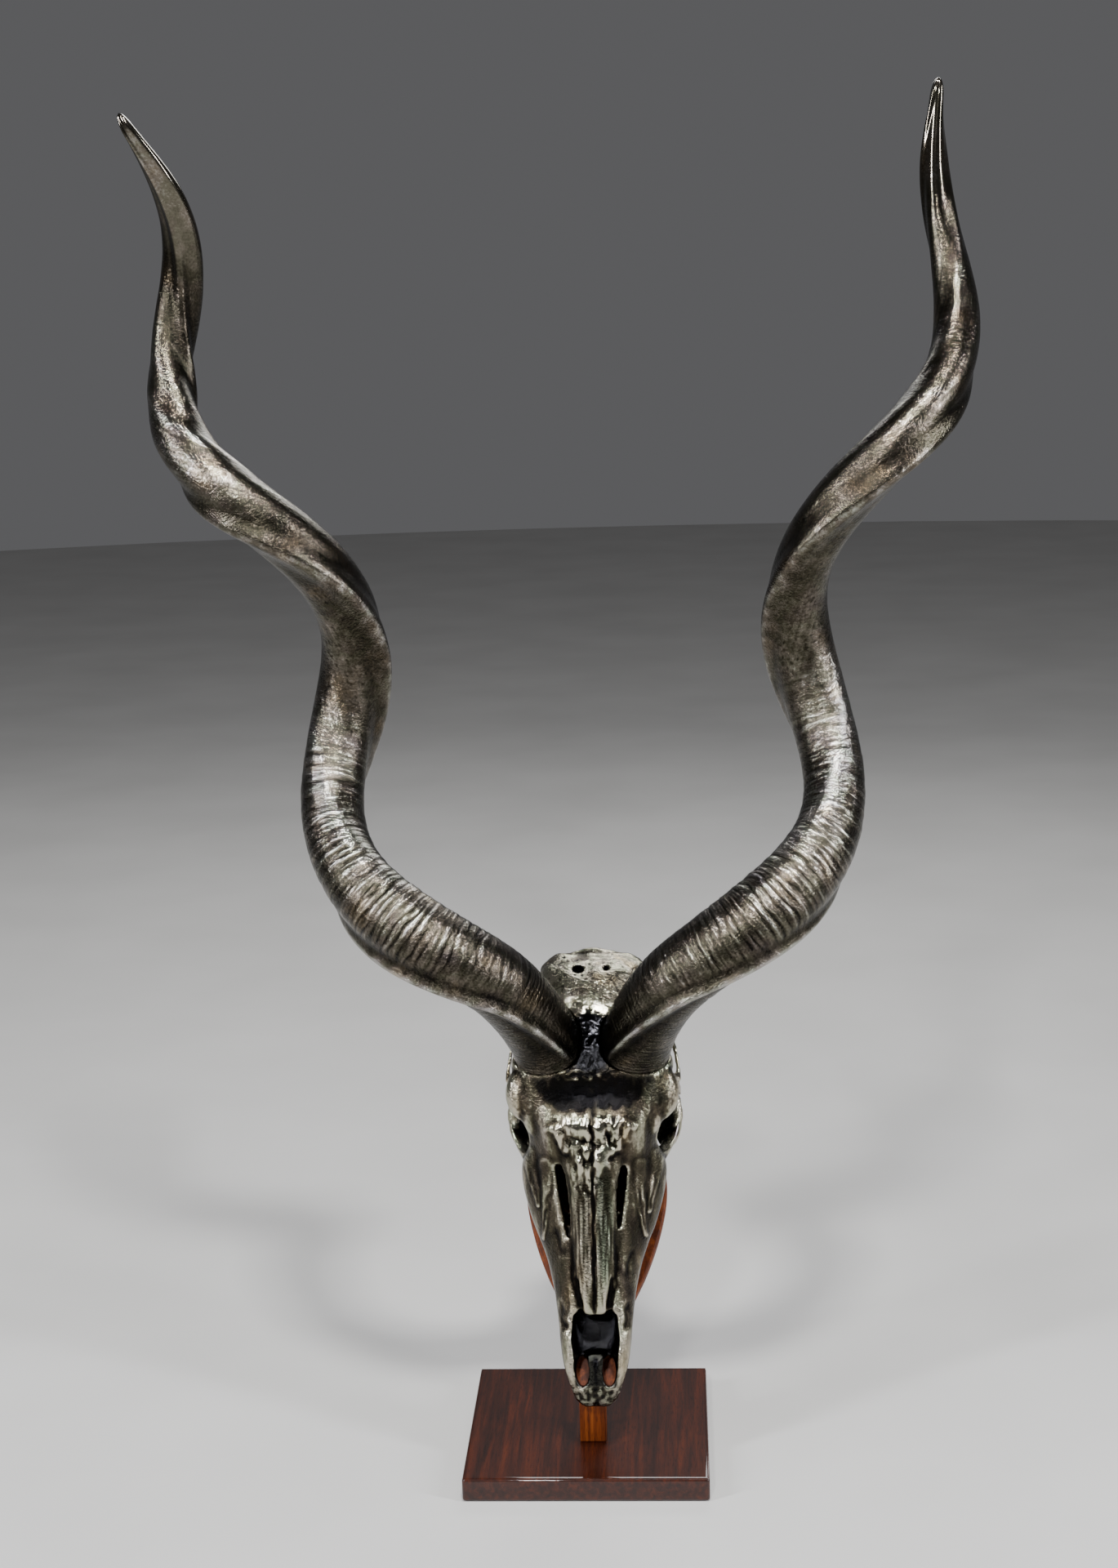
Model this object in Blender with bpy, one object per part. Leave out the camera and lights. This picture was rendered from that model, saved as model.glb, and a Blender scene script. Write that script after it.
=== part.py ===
"""Greater kudu skull mount: a silvered skull with two spiral horns on a wooden stand.

The stand's board lies on the ground plane with the origin at the centre of its underside.
The skull faces -Y and leans back, and +X is on the right of someone who faces it.
"""

import math

import bmesh
import bpy
import numpy as np
from mathutils import Matrix, Vector

# Stand, in metres
BASE_WIDTH = 0.220
BASE_THICKNESS = 0.022
BASE_CORNER = 0.003
BASE_EDGE = 0.002
POST_SIDE = 0.024
POST_X = 0.005
POST_Y = -0.030
POST_EDGE = 0.001
PANEL_THICKNESS = 0.018
PANEL_EDGE = 0.002
TOUCH_GAP = 0.0003
# The skull is made of small faces that are thinned out last, so its seats need a little more room.
SKULL_GAP = 0.0019

# Skull, in metres and degrees. Its own frame has Z up the face from the tip of the nose, Y into the
# head and X across.
NOSE_TIP = (0.010, -0.078, 0.075)
SKULL_LEAN = 13.0
MM = 0.001
SKULL_VOXEL = 0.0020
SKULL_SMOOTHING = 3
SKULL_FACES_KEPT = 0.032
# The crowns of the cheek teeth and the underside of the nose lie in one plane, which the panel carries.
SEAT_FROM_NOSE = 0.015
SEAT_DEPTH = 0.019
SEAT_SLOPE = 0.452

# Horns, in millimetres, degrees and whole turns, in the frame of a horn on the +X side. The axis of each
# coil is a curve from its first point to its last that is pulled towards the two between. The horn's
# middle line winds round it, starting at start_angle (0 is outwards, 90 is to the back), and is led to
# the root at its lower end. The rest are sizes of the section at even steps from foot to tip: half its
# width towards the keel, half its width across, how far the keel stands out, and where the keel points.
HORNS = {
    "horn_left": {
        "side": -1,
        "axis": ((119, -11, 426), (136, 26, 610), (353, 85, 930), (363, 20, 1206)),
        "coil_radii": (65, 39.5, 39, 18.5),
        "start_angle": 194,
        "turns": 1.54,
        "extra_turns": 0.69,
        "keel_half": (35, 31.5, 28, 26, 15, 6),
        "cross_half": (32.5, 29, 29, 26.5, 21, 10),
        "keel_height": (7, 11, 7, 2.3),
        "keel_angles": (63, 70, 80, 53, 158, 55),
        "root": (28.5, 18, 377),
    },
    "horn_right": {
        "side": 1,
        "axis": ((108.5, 3, 420), (230, 45.5, 729), (333.5, 88, 992), (340.5, 118, 1220.5)),
        "coil_radii": (50, 59, 34.5, 12),
        "start_angle": 209.5,
        "turns": 2.19,
        "extra_turns": -0.283,
        "keel_half": (35, 31.5, 27.5, 23, 15, 6),
        "cross_half": (32.5, 28.5, 26, 25, 18, 9),
        "keel_height": (7, 7, 7.3, 1.6),
        "keel_angles": (50, 61, 63, 54, 63, 56),
        "root": (48.5, 18, 377),
    },
}
ROOT_HEADING = (0.22, -0.36, 0.90)
ROOT_T = -0.038
JOIN_T = 0.035
KEEL_HALF_ANGLE = 0.30
KEEL_RUN_IN = 0.03
# A lower, broader swelling runs opposite the keel: its height at foot and tip, and half its width
BACK_RIDGE = (1.5, 2.0)
BACK_RIDGE_HALF_ANGLE = 0.45
HORN_SIDES = 12
TIP_ROUNDING = 0.03
# Growth rings swell the lower part of each horn
RING_SPACING = 0.008
RINGED_LENGTH = 0.33
RING_SWELL = 0.0010
PLAIN_SPACING = 0.016


def clear_scene():
    """Removes what the scene holds when the script starts."""
    for thing in list(bpy.data.objects):
        bpy.data.objects.remove(thing, do_unlink=True)


def finish_material(name, colour, metallic, roughness):
    """A Principled material of one colour."""
    material = bpy.data.materials.new(name)
    material.use_nodes = True
    shader = material.node_tree.nodes["Principled BSDF"]
    shader.inputs["Base Color"].default_value = (*colour, 1.0)
    shader.inputs["Metallic"].default_value = metallic
    shader.inputs["Roughness"].default_value = roughness
    return material


def antique_silver(name):
    """Silver plate that was darkened and rubbed back."""
    return finish_material(name, (0.52, 0.50, 0.44), 1.0, 0.25)


def varnished_hardwood(name):
    """Red-brown hardwood under gloss varnish."""
    return finish_material(name, (0.085, 0.030, 0.016), 0.0, 0.20)


def amber_wood(name):
    """Stained orange-brown wood."""
    return finish_material(name, (0.20, 0.065, 0.020), 0.0, 0.30)


def new_object(name, mesh, material):
    """Puts a mesh in the scene as a named object with one material."""
    thing = bpy.data.objects.new(name, mesh)
    bpy.context.scene.collection.objects.link(thing)
    if material:
        mesh.materials.append(material)
    return thing


def mesh_from(name, build):
    """A mesh made by a function that fills a bmesh, with its faces turned outwards."""
    shape = bmesh.new()
    build(shape)
    bmesh.ops.recalc_face_normals(shape, faces=shape.faces)
    mesh = bpy.data.meshes.new(name)
    shape.to_mesh(mesh)
    shape.free()
    return mesh


def add_bevel(thing, width, segments=2):
    """Rounds the edges that bend by more than a third of a right angle."""
    bevel = thing.modifiers.new("rounded_edges", "BEVEL")
    bevel.width = width
    bevel.segments = segments
    bevel.limit_method = "ANGLE"
    bevel.angle_limit = math.radians(30)


def as_cutter(thing):
    """Marks an object that only cuts others."""
    thing.hide_render = True
    thing.display_type = "WIRE"
    return thing


def cut(thing, cutter):
    """Takes the cutter's volume out of an object."""
    boolean = thing.modifiers.new("cut_" + cutter.name, "BOOLEAN")
    boolean.operation = "DIFFERENCE"
    boolean.solver = "EXACT"
    boolean.object = cutter


def smooth_line(points, steps, closed=False):
    """Points on a smooth curve through the given ones, with so many steps between neighbours."""
    points = np.asarray(points, float)
    if closed:
        padded = np.concatenate([points[-1:], points, points[:2]])
    else:
        first = 2 * points[0] - points[1]
        last = 2 * points[-1] - points[-2]
        padded = np.concatenate([[first], points, [last]])
    curve = []
    for before, start, end, after in zip(padded, padded[1:], padded[2:], padded[3:]):
        for step in range(steps):
            t = step / steps
            cubic = 3 * start - before - 3 * end + after
            square = 2 * before - 5 * start + 4 * end - after
            curve.append(start + 0.5 * t * (end - before + t * (square + t * cubic)))
    if not closed:
        curve.append(points[-1])
    return np.array(curve)


def skin_rings(shape, rings, tip=None):
    """Joins rings of points into a tube with closed ends. A tip point closes the last ring."""
    rows = [[shape.verts.new(point) for point in ring] for ring in rings]
    count = len(rows[0])
    for low, high in zip(rows, rows[1:]):
        for i in range(count):
            j = (i + 1) % count
            shape.faces.new((low[i], low[j], high[j], high[i]))
    shape.faces.new(rows[0])
    if tip is None:
        shape.faces.new(rows[-1])
        return
    end = shape.verts.new(tip)
    for i in range(count):
        shape.faces.new((rows[-1][i], rows[-1][(i + 1) % count], end))


def perpendicular_frames(path):
    """Two directions across a path at each of its points, carried along it without twist."""
    tangents = np.gradient(path, axis=0)
    tangents /= np.linalg.norm(tangents, axis=1)[:, None]
    across = np.cross(tangents[0], (0.36, 0.48, 0.80))
    frames = []
    for tangent in tangents:
        across = across - np.dot(across, tangent) * tangent
        across = across / np.linalg.norm(across)
        frames.append((across, np.cross(tangent, across)))
    return frames


def rod(shape, points, radii, sides=12, steps=6):
    """A round rod along a smooth curve through the points, in millimetres, with a radius at each."""
    path = smooth_line(points, steps) * MM
    sizes = smooth_line([(radius,) for radius in radii], steps)[:, 0] * MM
    angles = np.arange(sides) * 2 * math.pi / sides
    rings = []
    for centre, size, (across, up) in zip(path, sizes, perpendicular_frames(path)):
        rings.append([centre + size * (math.cos(a) * across + math.sin(a) * up) for a in angles])
    skin_rings(shape, rings)


def ball(shape, centre, radii, turn=0.0):
    """An ellipsoid, in millimetres, turned by some degrees about X."""
    place = Matrix.Translation(Vector(centre) * MM) @ Matrix.Rotation(math.radians(turn), 4, "X")
    sizes = Matrix.Diagonal((*(radius * MM for radius in radii), 1.0))
    bmesh.ops.create_uvsphere(shape, u_segments=24, v_segments=14, radius=1.0, matrix=place @ sizes)


def loft(shape, sections, steps=3, corner_steps=4):
    """A body through sections (height, half outline from front middle to back middle), in millimetres."""
    outlines = []
    for height, half in sections:
        other_half = [(-x, depth) for x, depth in reversed(half[1:-1])]
        outlines.append([(x, depth, height) for x, depth in list(half) + other_half])
    outlines = np.array(outlines)
    columns = [smooth_line(outlines[:, i], steps) for i in range(outlines.shape[1])]
    rings = [smooth_line(ring, corner_steps, closed=True) * MM for ring in np.array(columns).transpose(1, 0, 2)]
    skin_rings(shape, rings)


# Each half outline runs: front middle, nasal edge, shoulder, outermost point, tooth edge, inner tooth
# edge, back middle, as (across, depth) in millimetres at a height above the tip of the nose.
HEAD_SECTIONS = (
    (3, ((0, 4), (6, 4), (11, 5), (14, 9), (12, 13), (6, 15), (0, 15))),
    (15, ((0, 1), (10, 1), (18, 3), (23, 9), (20, 16), (10, 19), (0, 19))),
    (35, ((0, 0), (14, 0), (24, 2), (29, 10), (26, 20), (14, 25), (0, 25))),
    (55, ((0, 0), (16, 0), (27, 3), (32, 13), (29, 26), (16, 31), (0, 30))),
    (78, ((0, 0), (12, 1), (27, 6), (34, 17), (32, 32), (22, 38), (0, 34))),
    (100, ((0, 0), (13, 2), (27, 8), (37, 22), (35, 43), (26, 48), (0, 40))),
    (122, ((0, 0), (17, 3), (30, 10), (42, 28), (40, 54), (28, 60), (0, 48))),
    (141, ((0, 0), (19, 4), (33, 12), (49, 34), (43, 64), (29, 70), (0, 56))),
    (160, ((0, 0), (20, 5), (38, 14), (57, 38), (45, 73), (29, 79), (0, 64))),
    (190, ((0, -1), (22, 5), (44, 15), (65, 40), (46, 86), (29, 92), (0, 76))),
    (212, ((0, -3), (26, 4), (48, 17), (66, 42), (46, 94), (29, 100), (0, 84))),
    (228, ((0, -5), (34, 2), (48, 12), (58, 36), (42, 90), (27, 98), (0, 88))),
    (250, ((0, -6), (38, -3), (50, 6), (56, 22), (36, 82), (22, 96), (0, 95))),
    (275, ((0, -4), (38, -2), (60, 8), (68, 22), (38, 80), (22, 100), (0, 102))),
    (300, ((0, -2), (40, 0), (64, 14), (62, 38), (40, 84), (24, 108), (0, 112))),
    (322, ((0, 6), (38, 10), (60, 26), (55, 52), (44, 90), (28, 118), (0, 122))),
    (342, ((0, 14), (30, 18), (48, 34), (52, 62), (46, 100), (26, 132), (0, 136))),
    (365, ((0, 30), (28, 35), (44, 52), (49, 80), (44, 115), (24, 143), (0, 148))),
    (386, ((0, 55), (28, 58), (44, 72), (50, 92), (42, 118), (22, 134), (0, 138))),
    (393, ((0, 72), (23, 74), (38, 82), (44, 95), (36, 110), (20, 122), (0, 126))),
    (399, ((0, 88), (16, 89), (28, 92), (33, 98), (26, 106), (14, 111), (0, 113))),
)
NASAL_SECTIONS = (
    (84, ((0, -1), (5, -1), (8, 0), (10, 3), (8, 6), (5, 7), (0, 7))),
    (105, ((0, -3), (7, -3), (12, -1), (14, 3), (12, 9), (7, 10), (0, 10))),
    (130, ((0, -4), (9, -4), (15, -1), (18, 4), (15, 12), (9, 13), (0, 13))),
    (165, ((0, -4), (10, -4), (17, -1), (20, 5), (17, 13), (10, 14), (0, 14))),
    (200, ((0, -6), (11, -5), (19, -2), (22, 5), (18, 13), (11, 14), (0, 14))),
    (228, ((0, -8), (13, -7), (24, -3), (28, 4), (24, 13), (13, 14), (0, 14))),
)
NASAL_CAVITY_SECTIONS = (
    (46, ((0, 6), (8, 6), (14, 7), (17, 11), (14, 16), (8, 18), (0, 18))),
    (60, ((0, 2), (10, 2), (17, 5), (21, 12), (18, 23), (10, 26), (0, 26))),
    (84, ((0, 8), (10, 8), (17, 10), (22, 17), (19, 28), (10, 32), (0, 32))),
    (120, ((0, 12), (10, 12), (18, 14), (23, 22), (19, 34), (10, 37), (0, 37))),
    (160, ((0, 12), (12, 12), (21, 15), (26, 26), (21, 42), (10, 48), (0, 48))),
    (210, ((0, 12), (14, 12), (26, 16), (32, 30), (24, 48), (12, 56), (0, 56))),
    (228, ((0, 16), (12, 16), (22, 20), (26, 32), (20, 46), (10, 52), (0, 52))),
)
NOSE_OPENING_SECTIONS = (
    (47, ((0, -9), (10, -9), (17, -8), (19, 0), (16, 12), (8, 14), (0, 14))),
    (62, ((0, -9), (11, -9), (19, -8), (21, 2), (18, 14), (10, 16), (0, 16))),
    (81, ((0, -9), (11, -9), (18, -8), (20, 4), (17, 14), (10, 16), (0, 16))),
)
# The ring of one eye socket: the brow's edge in front, the thin outer bar behind
EYE_RING = (
    ((57, 20, 247), 4.5), ((55, 27, 234), 4.5), ((58, 37, 224), 4.2), ((63, 49, 219), 3.4),
    ((70, 61, 224), 2.6), ((76, 70, 236), 2.4), ((79, 73, 252), 2.4), ((80, 70, 267), 2.4),
    ((78, 60, 280), 3.0), ((74, 46, 288), 5.0), ((69, 28, 285), 6.0), ((62, 18, 264), 5.5),
)
CHEEK_TEETH = ((130, 12), (143, 13), (157, 14), (173, 16), (190, 17), (207, 15))
TOOTH_ROW_X = 36
TOOTH_WIDTH = 15
TOOTH_ROOT = 14


def seat_depth(height):
    """Depth of the seating plane at a height above the nose tip, both in millimetres."""
    return SEAT_DEPTH / MM + SEAT_SLOPE * (height - SEAT_FROM_NOSE / MM)


def eye_ring(shape, side):
    """The bony rim of one eye socket."""
    points = [(x * side, depth, height) for (x, depth, height), _ in EYE_RING]
    radii = [radius for _, radius in EYE_RING]
    rod(shape, points + points[:1], radii + radii[:1], sides=8, steps=3)


def side_bones(shape, side):
    """Brow, cheek, zygomatic arch, ear region and occipital processes of one side."""
    ball(shape, (58 * side, 20, 282), (20, 20, 25))
    ball(shape, (40 * side, 26, 297), (31, 27, 13))
    rod(
        shape,
        ((79 * side, 48, 284), (78 * side, 56, 302), (73 * side, 66, 320), (52 * side, 80, 336)),
        (3, 3, 4, 7),
    )
    rod(shape, ((29 * side, 51, 280), (34 * side, 38, 299), (41 * side, 20, 324)), (29, 31, 31), sides=24)
    rod(
        shape,
        (
            (56 * side, 47, 210),
            (69 * side, 70, 232),
            (68 * side, 90, 258),
            (60 * side, 104, 296),
            (42 * side, 108, 326),
        ),
        (7, 5.5, 5, 5.5, 9),
    )
    ball(shape, (47 * side, 106, 316), (13, 11, 12))
    ball(shape, (25 * side, 132, 316), (11, 13, 15))
    ball(shape, (16 * side, 153, 364), (12, 13, 14))
    rod(shape, ((36 * side, 122, 350), (39 * side, 142, 340), (38 * side, 160, 328)), (9, 6, 3.5))
    rod(shape, ((17 * side, 86, 218), (16 * side, 104, 240), (14 * side, 116, 262)), (5, 3.5, 4))
    rod(shape, ((3.4 * side, 12, 10), (3.0 * side, 14, 38), (4.0 * side, 18, 66)), (3.4, 2.6, 3.2), sides=8)


def cheek_teeth(shape, side):
    """Six cheek teeth as rounded blocks that reach past the seating plane, where they are trimmed."""
    for height, length in CHEEK_TEETH:
        crown = seat_depth(height) + 4
        middle = crown - (TOOTH_ROOT + 4) / 2
        place = Matrix.Translation(Vector((TOOTH_ROW_X * side, middle, height)) * MM)
        sizes = Matrix.Diagonal((TOOTH_WIDTH * MM, (TOOTH_ROOT + 4) * MM, length * 0.94 * MM, 1.0))
        bmesh.ops.create_cube(shape, size=1.0, matrix=place @ sizes)


def skull_bone(shape):
    """All the bone of the skull as overlapping closed shapes."""
    loft(shape, HEAD_SECTIONS)
    loft(shape, NASAL_SECTIONS)
    ball(shape, (0, 8, 250), (37, 16, 19))
    rod(shape, ((0, 104, 236), (0, 122, 280), (0, 142, 335), (0, 146, 356)), (9, 11, 14, 14))
    rod(
        shape,
        ((-44, 106, 390), (-26, 100, 395.5), (0, 97, 400), (26, 100, 395.5), (44, 106, 390)),
        (4, 4.5, 5, 4.5, 4),
    )
    ball(shape, (0, 121, 391), (9, 9, 12))
    for side in (-1, 1):
        side_bones(shape, side)
        eye_ring(shape, side)
        cheek_teeth(shape, side)


def skull_hollows(shape):
    """The hollows of the skull as overlapping closed shapes."""
    loft(shape, NASAL_CAVITY_SECTIONS)
    loft(shape, NOSE_OPENING_SECTIONS)
    rod(shape, ((0, -9, 78), (0, -7, 130), (0, -8, 190), (0, -11, 240)), (2.6, 3.6, 3.6, 2.6), sides=8)
    ball(shape, (0, 160, 386), (11, 20, 12), turn=-35)
    ball(shape, (0, -2, 1), (2.2, 9, 8))
    ball(shape, (0, 108, 236), (11, 16, 22))
    for side in (-1, 1):
        ball(shape, (66 * side, 46, 252), (34, 25, 27))
        ball(shape, (72 * side, 74, 292), (19, 16, 22))
        ball(shape, (19 * side, -10, 287), (19, 15, 11))
        ball(shape, (11.2 * side, 8, 29), (5.0, 30, 12.5), turn=-13)
        rod(
            shape,
            ((10.5 * side, -3, 17), (12 * side, -4, 30), (12.5 * side, -2, 46), (12.5 * side, 3, 60)),
            (4, 8, 9, 9),
        )
        rod(shape, ((13.5 * side, 1, 80), (15 * side, 3, 98), (16.5 * side, 4, 118)), (4.5, 3.4, 2.0), sides=8)
        rod(shape, ((33 * side, 12, 217), (29 * side, 10, 186), (24 * side, 10, 156)), (4.4, 4.8, 3.2), sides=8)
        rod(shape, ((30 * side, 20, 214), (27 * side, 18, 186), (23 * side, 18, 160)), (5, 5, 4), sides=8)
        ball(shape, (13 * side, 61, 393), (5, 7, 5))
        rod(
            shape,
            ((9 * side, 42, 92), (12 * side, 62, 130), (12 * side, 88, 190), (10 * side, 104, 226)),
            (7, 12, 15, 14),
        )


def seat_slab():
    """A thick slab behind the seating plane, with the gap that keeps the skull clear of the panel."""
    slope = math.atan(SEAT_SLOPE)
    thickness = 0.12
    place = Matrix.Translation((0.0, SEAT_DEPTH - SKULL_GAP, SEAT_FROM_NOSE))
    place = place @ Matrix.Rotation(-slope, 4, "X")
    place = place @ Matrix.Translation((0.0, thickness / 2, 0.095))
    sizes = Matrix.Diagonal((0.30, thickness, 0.25, 1.0))
    mesh = mesh_from("seat_slab", lambda shape: bmesh.ops.create_cube(shape, size=1.0, matrix=place @ sizes))
    return as_cutter(new_object("seat_slab", mesh, None))


def bent_line(points, u):
    """A smooth curve from the first point to the last that is pulled towards the two between."""
    weights = ((1 - u) ** 3, 3 * u * (1 - u) ** 2, 3 * u * u * (1 - u), u**3)
    return sum(weight * np.asarray(point, float) for weight, point in zip(weights, points))


def size_along(sizes, t):
    """The value at t of a smooth line through sizes that are given at even steps from 0 to 1."""
    padded = [2 * sizes[0] - sizes[1], *sizes, 2 * sizes[-1] - sizes[-2]]
    place = min(max(t, 0.0), 1.0) * (len(sizes) - 1)
    first = min(int(place), len(sizes) - 2)
    share = place - first
    before, start, end, after = padded[first : first + 4]
    cubic = 3 * start - before - 3 * end + after
    square = 2 * before - 5 * start + 4 * end - after
    return start + 0.5 * share * (end - before + share * (square + share * cubic))


def horn_point(horn, t):
    """The middle line, its tangent and the keel's direction at t, from 0 near the root to 1 at the tip."""
    along = np.subtract(horn["axis"][-1], horn["axis"][0])
    along = along / np.linalg.norm(along)
    outward = np.cross((0.0, 1.0, 0.0), along)
    outward = outward / np.linalg.norm(outward)
    backward = np.cross(along, outward)

    def coil(u):
        whole_turns = horn["turns"] * u + horn["extra_turns"] * u * u
        turn = math.radians(horn["start_angle"]) + 2 * math.pi * whole_turns
        radius = bent_line(horn["coil_radii"], u)
        centre = bent_line(horn["axis"], u) + radius * (math.cos(turn) * outward + math.sin(turn) * backward)
        return centre * MM, turn

    def middle(u):
        centre, turn = coil(u)
        if u >= JOIN_T:
            return centre, turn
        reach = JOIN_T - ROOT_T
        share = (u - ROOT_T) / reach
        step = 1e-4
        joined = coil(JOIN_T)[0]
        leaving = (coil(JOIN_T + step)[0] - coil(JOIN_T - step)[0]) / (2 * step) * reach
        root = np.array(horn["root"]) * MM
        heading = np.array(ROOT_HEADING) * np.linalg.norm(joined - root)
        centre = root * (2 * share**3 - 3 * share**2 + 1) + heading * (share**3 - 2 * share**2 + share)
        centre = centre + joined * (3 * share**2 - 2 * share**3) + leaving * (share**3 - share**2)
        return centre, turn

    centre, turn = middle(t)
    step = 1e-4
    tangent = middle(t + step)[0] - middle(t - step)[0]
    tangent = tangent / np.linalg.norm(tangent)
    radial = math.cos(turn) * outward + math.sin(turn) * backward
    radial = radial - np.dot(radial, tangent) * tangent
    radial = radial / np.linalg.norm(radial)
    angle = math.radians(size_along(horn["keel_angles"], t))
    keel = math.cos(angle) * radial + math.sin(angle) * np.cross(tangent, radial)
    return centre, tangent, keel


def horn_stations(horn):
    """Where the rings of a horn lie: pairs of (t, growth-ring phase), close together on the ringed part."""
    fine = np.linspace(ROOT_T, 1.0, 400)
    line = np.array([horn_point(horn, t)[0] for t in fine])
    travelled = np.concatenate([[0.0], np.cumsum(np.linalg.norm(np.diff(line, axis=0), axis=1))])
    length = travelled[-1]
    ringed = np.arange(0.0, RINGED_LENGTH, RING_SPACING)
    plain_count = round((length - RINGED_LENGTH) / PLAIN_SPACING)
    plain = np.linspace(RINGED_LENGTH, length, plain_count, endpoint=False)
    near_tip = length - np.array((0.012, 0.006, 0.002))
    lengths = np.concatenate([ringed, plain, near_tip])
    swells = np.concatenate([np.where(np.arange(len(ringed)) % 2, 1.0, -1.0), np.zeros(len(plain) + 3)])
    fade = np.clip(lengths / 0.04, 0, 1) * np.clip((RINGED_LENGTH - lengths) / 0.12, 0, 1)
    return list(zip(np.interp(lengths, travelled, fine), swells * fade, lengths))


def horn_ring(horn, t, swell, distance, grow):
    """One ring of a horn: an oval with a keel, larger by grow all round."""
    centre, tangent, keel = horn_point(horn, t)
    across = np.cross(tangent, keel)
    u = min(max(t, 0.0), 1.0)
    rounding = math.sqrt(max(0.0, 1.0 - max(0.0, (t - 1.0 + TIP_ROUNDING) / TIP_ROUNDING) ** 2)) * MM
    keel_half = size_along(horn["keel_half"], t) * rounding
    cross_half = size_along(horn["cross_half"], t) * rounding
    keel_height = size_along(horn["keel_height"], t) * rounding * min(1.0, distance / KEEL_RUN_IN)
    back_height = (BACK_RIDGE[0] * (1 - u) + BACK_RIDGE[1] * u) * rounding
    corner_reach = 1.0 / math.cos(math.pi / HORN_SIDES)
    ring = []
    for i in range(HORN_SIDES):
        angle = 2 * math.pi * i / HORN_SIDES
        oval = keel_half * cross_half / math.hypot(cross_half * math.cos(angle), keel_half * math.sin(angle))
        folded = min(angle, 2 * math.pi - angle)
        ridge = keel_height * math.exp(-((folded / KEEL_HALF_ANGLE) ** 2))
        back = back_height * math.exp(-(((math.pi - folded) / BACK_RIDGE_HALF_ANGLE) ** 2))
        reach = oval * corner_reach + ridge + back + swell * RING_SWELL + grow
        ring.append(centre + reach * (math.cos(angle) * keel + math.sin(angle) * across))
    return ring


def horn_mesh(name, horn, grow=0.0, longer_root=0.0):
    """The closed surface of one horn. A larger copy with a longer root cuts its socket."""
    stations = horn_stations(horn)
    if grow:
        stations = stations[:24]
    rings = [horn_ring(horn, t, swell, distance, grow) for t, swell, distance in stations]
    if longer_root:
        _, tangent, _ = horn_point(horn, ROOT_T)
        rings[0] = [point - longer_root * tangent for point in rings[0]]
    tip = None if grow else horn_point(horn, 1.0)[0]
    mirror = np.array((horn["side"], 1, 1))
    rings = [[point * mirror for point in ring] for ring in rings]
    tip = None if tip is None else tip * mirror
    return mesh_from(name, lambda shape: skin_rings(shape, rings, tip))


def make_horn(name):
    """One horn, shaded smooth with its growth rings kept."""
    mesh = horn_mesh(name, HORNS[name])
    mesh.shade_smooth()
    return new_object(name, mesh, antique_silver(name + "_silver"))


def make_socket_cutter(name):
    """The shape of a horn's root with a small gap all round, which makes its seat on the skull."""
    mesh = horn_mesh(name + "_socket", HORNS[name], grow=SKULL_GAP, longer_root=SKULL_GAP)
    return as_cutter(new_object(name + "_socket", mesh, None))


def make_skull(stand_axis):
    """The skull: bone shapes made into one skin, hollowed, thinned out and trimmed where it is carried."""
    hollows = as_cutter(new_object("skull_hollows", mesh_from("skull_hollows", skull_hollows), None))
    hollows.parent = stand_axis
    add_skin(hollows)
    slab = seat_slab()
    slab.parent = stand_axis
    skull = new_object("skull", mesh_from("skull", skull_bone), antique_silver("skull_silver"))
    skull.parent = stand_axis
    add_skin(skull)
    cut(skull, hollows)
    add_skin(skull)
    cut(skull, slab)
    for name in HORNS:
        cut(skull, make_socket_cutter(name))
    add_skin(skull)
    soften = skull.modifiers.new("softened", "SMOOTH")
    soften.iterations = SKULL_SMOOTHING
    soften.factor = 0.5
    thin_out = skull.modifiers.new("fewer_faces", "DECIMATE")
    thin_out.ratio = SKULL_FACES_KEPT
    return skull


def add_skin(thing):
    """Turns overlapping closed shapes into one even skin."""
    skin = thing.modifiers.new("one_skin", "REMESH")
    skin.mode = "VOXEL"
    skin.voxel_size = SKULL_VOXEL


def make_base():
    """The square board that the stand rests on."""
    size = Matrix.Diagonal((BASE_WIDTH, BASE_WIDTH, BASE_THICKNESS, 1.0))

    def build(shape):
        bmesh.ops.create_cube(shape, size=1.0, matrix=size)
        upright = [edge for edge in shape.edges if abs(edge.verts[0].co.z - edge.verts[1].co.z) > MM]
        bmesh.ops.bevel(shape, geom=upright, offset=BASE_CORNER, segments=3, profile=0.5, affect="EDGES")
        rim = [edge for edge in shape.edges if all(vert.co.z > BASE_THICKNESS / 2 - MM for vert in edge.verts)]
        bmesh.ops.bevel(shape, geom=rim, offset=BASE_EDGE, segments=2, profile=0.5, affect="EDGES")

    base = new_object("base", mesh_from("base", build), varnished_hardwood("base_hardwood"))
    base.location = (0.0, 0.0, BASE_THICKNESS / 2)
    return base


# Half widths of the panel at distances up its slope from the lower end, in millimetres
PANEL_OUTLINE = (
    (0, 12), (14, 19), (45, 21), (80, 31), (112, 46), (146, 58), (180, 65), (208, 64), (228, 52), (240, 30)
)
PANEL_LENGTH = 244
PANEL_START = 6


def panel_outline():
    """The panel's edge as a smooth closed line, in metres, up the +X side and down the other."""
    side = smooth_line(PANEL_OUTLINE, 2)
    right = [(half, along) for along, half in side]
    left = [(-half, along) for half, along in reversed(right)]
    return [(x * MM, along * MM) for x, along in right + [(0, PANEL_LENGTH)] + left]


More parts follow.
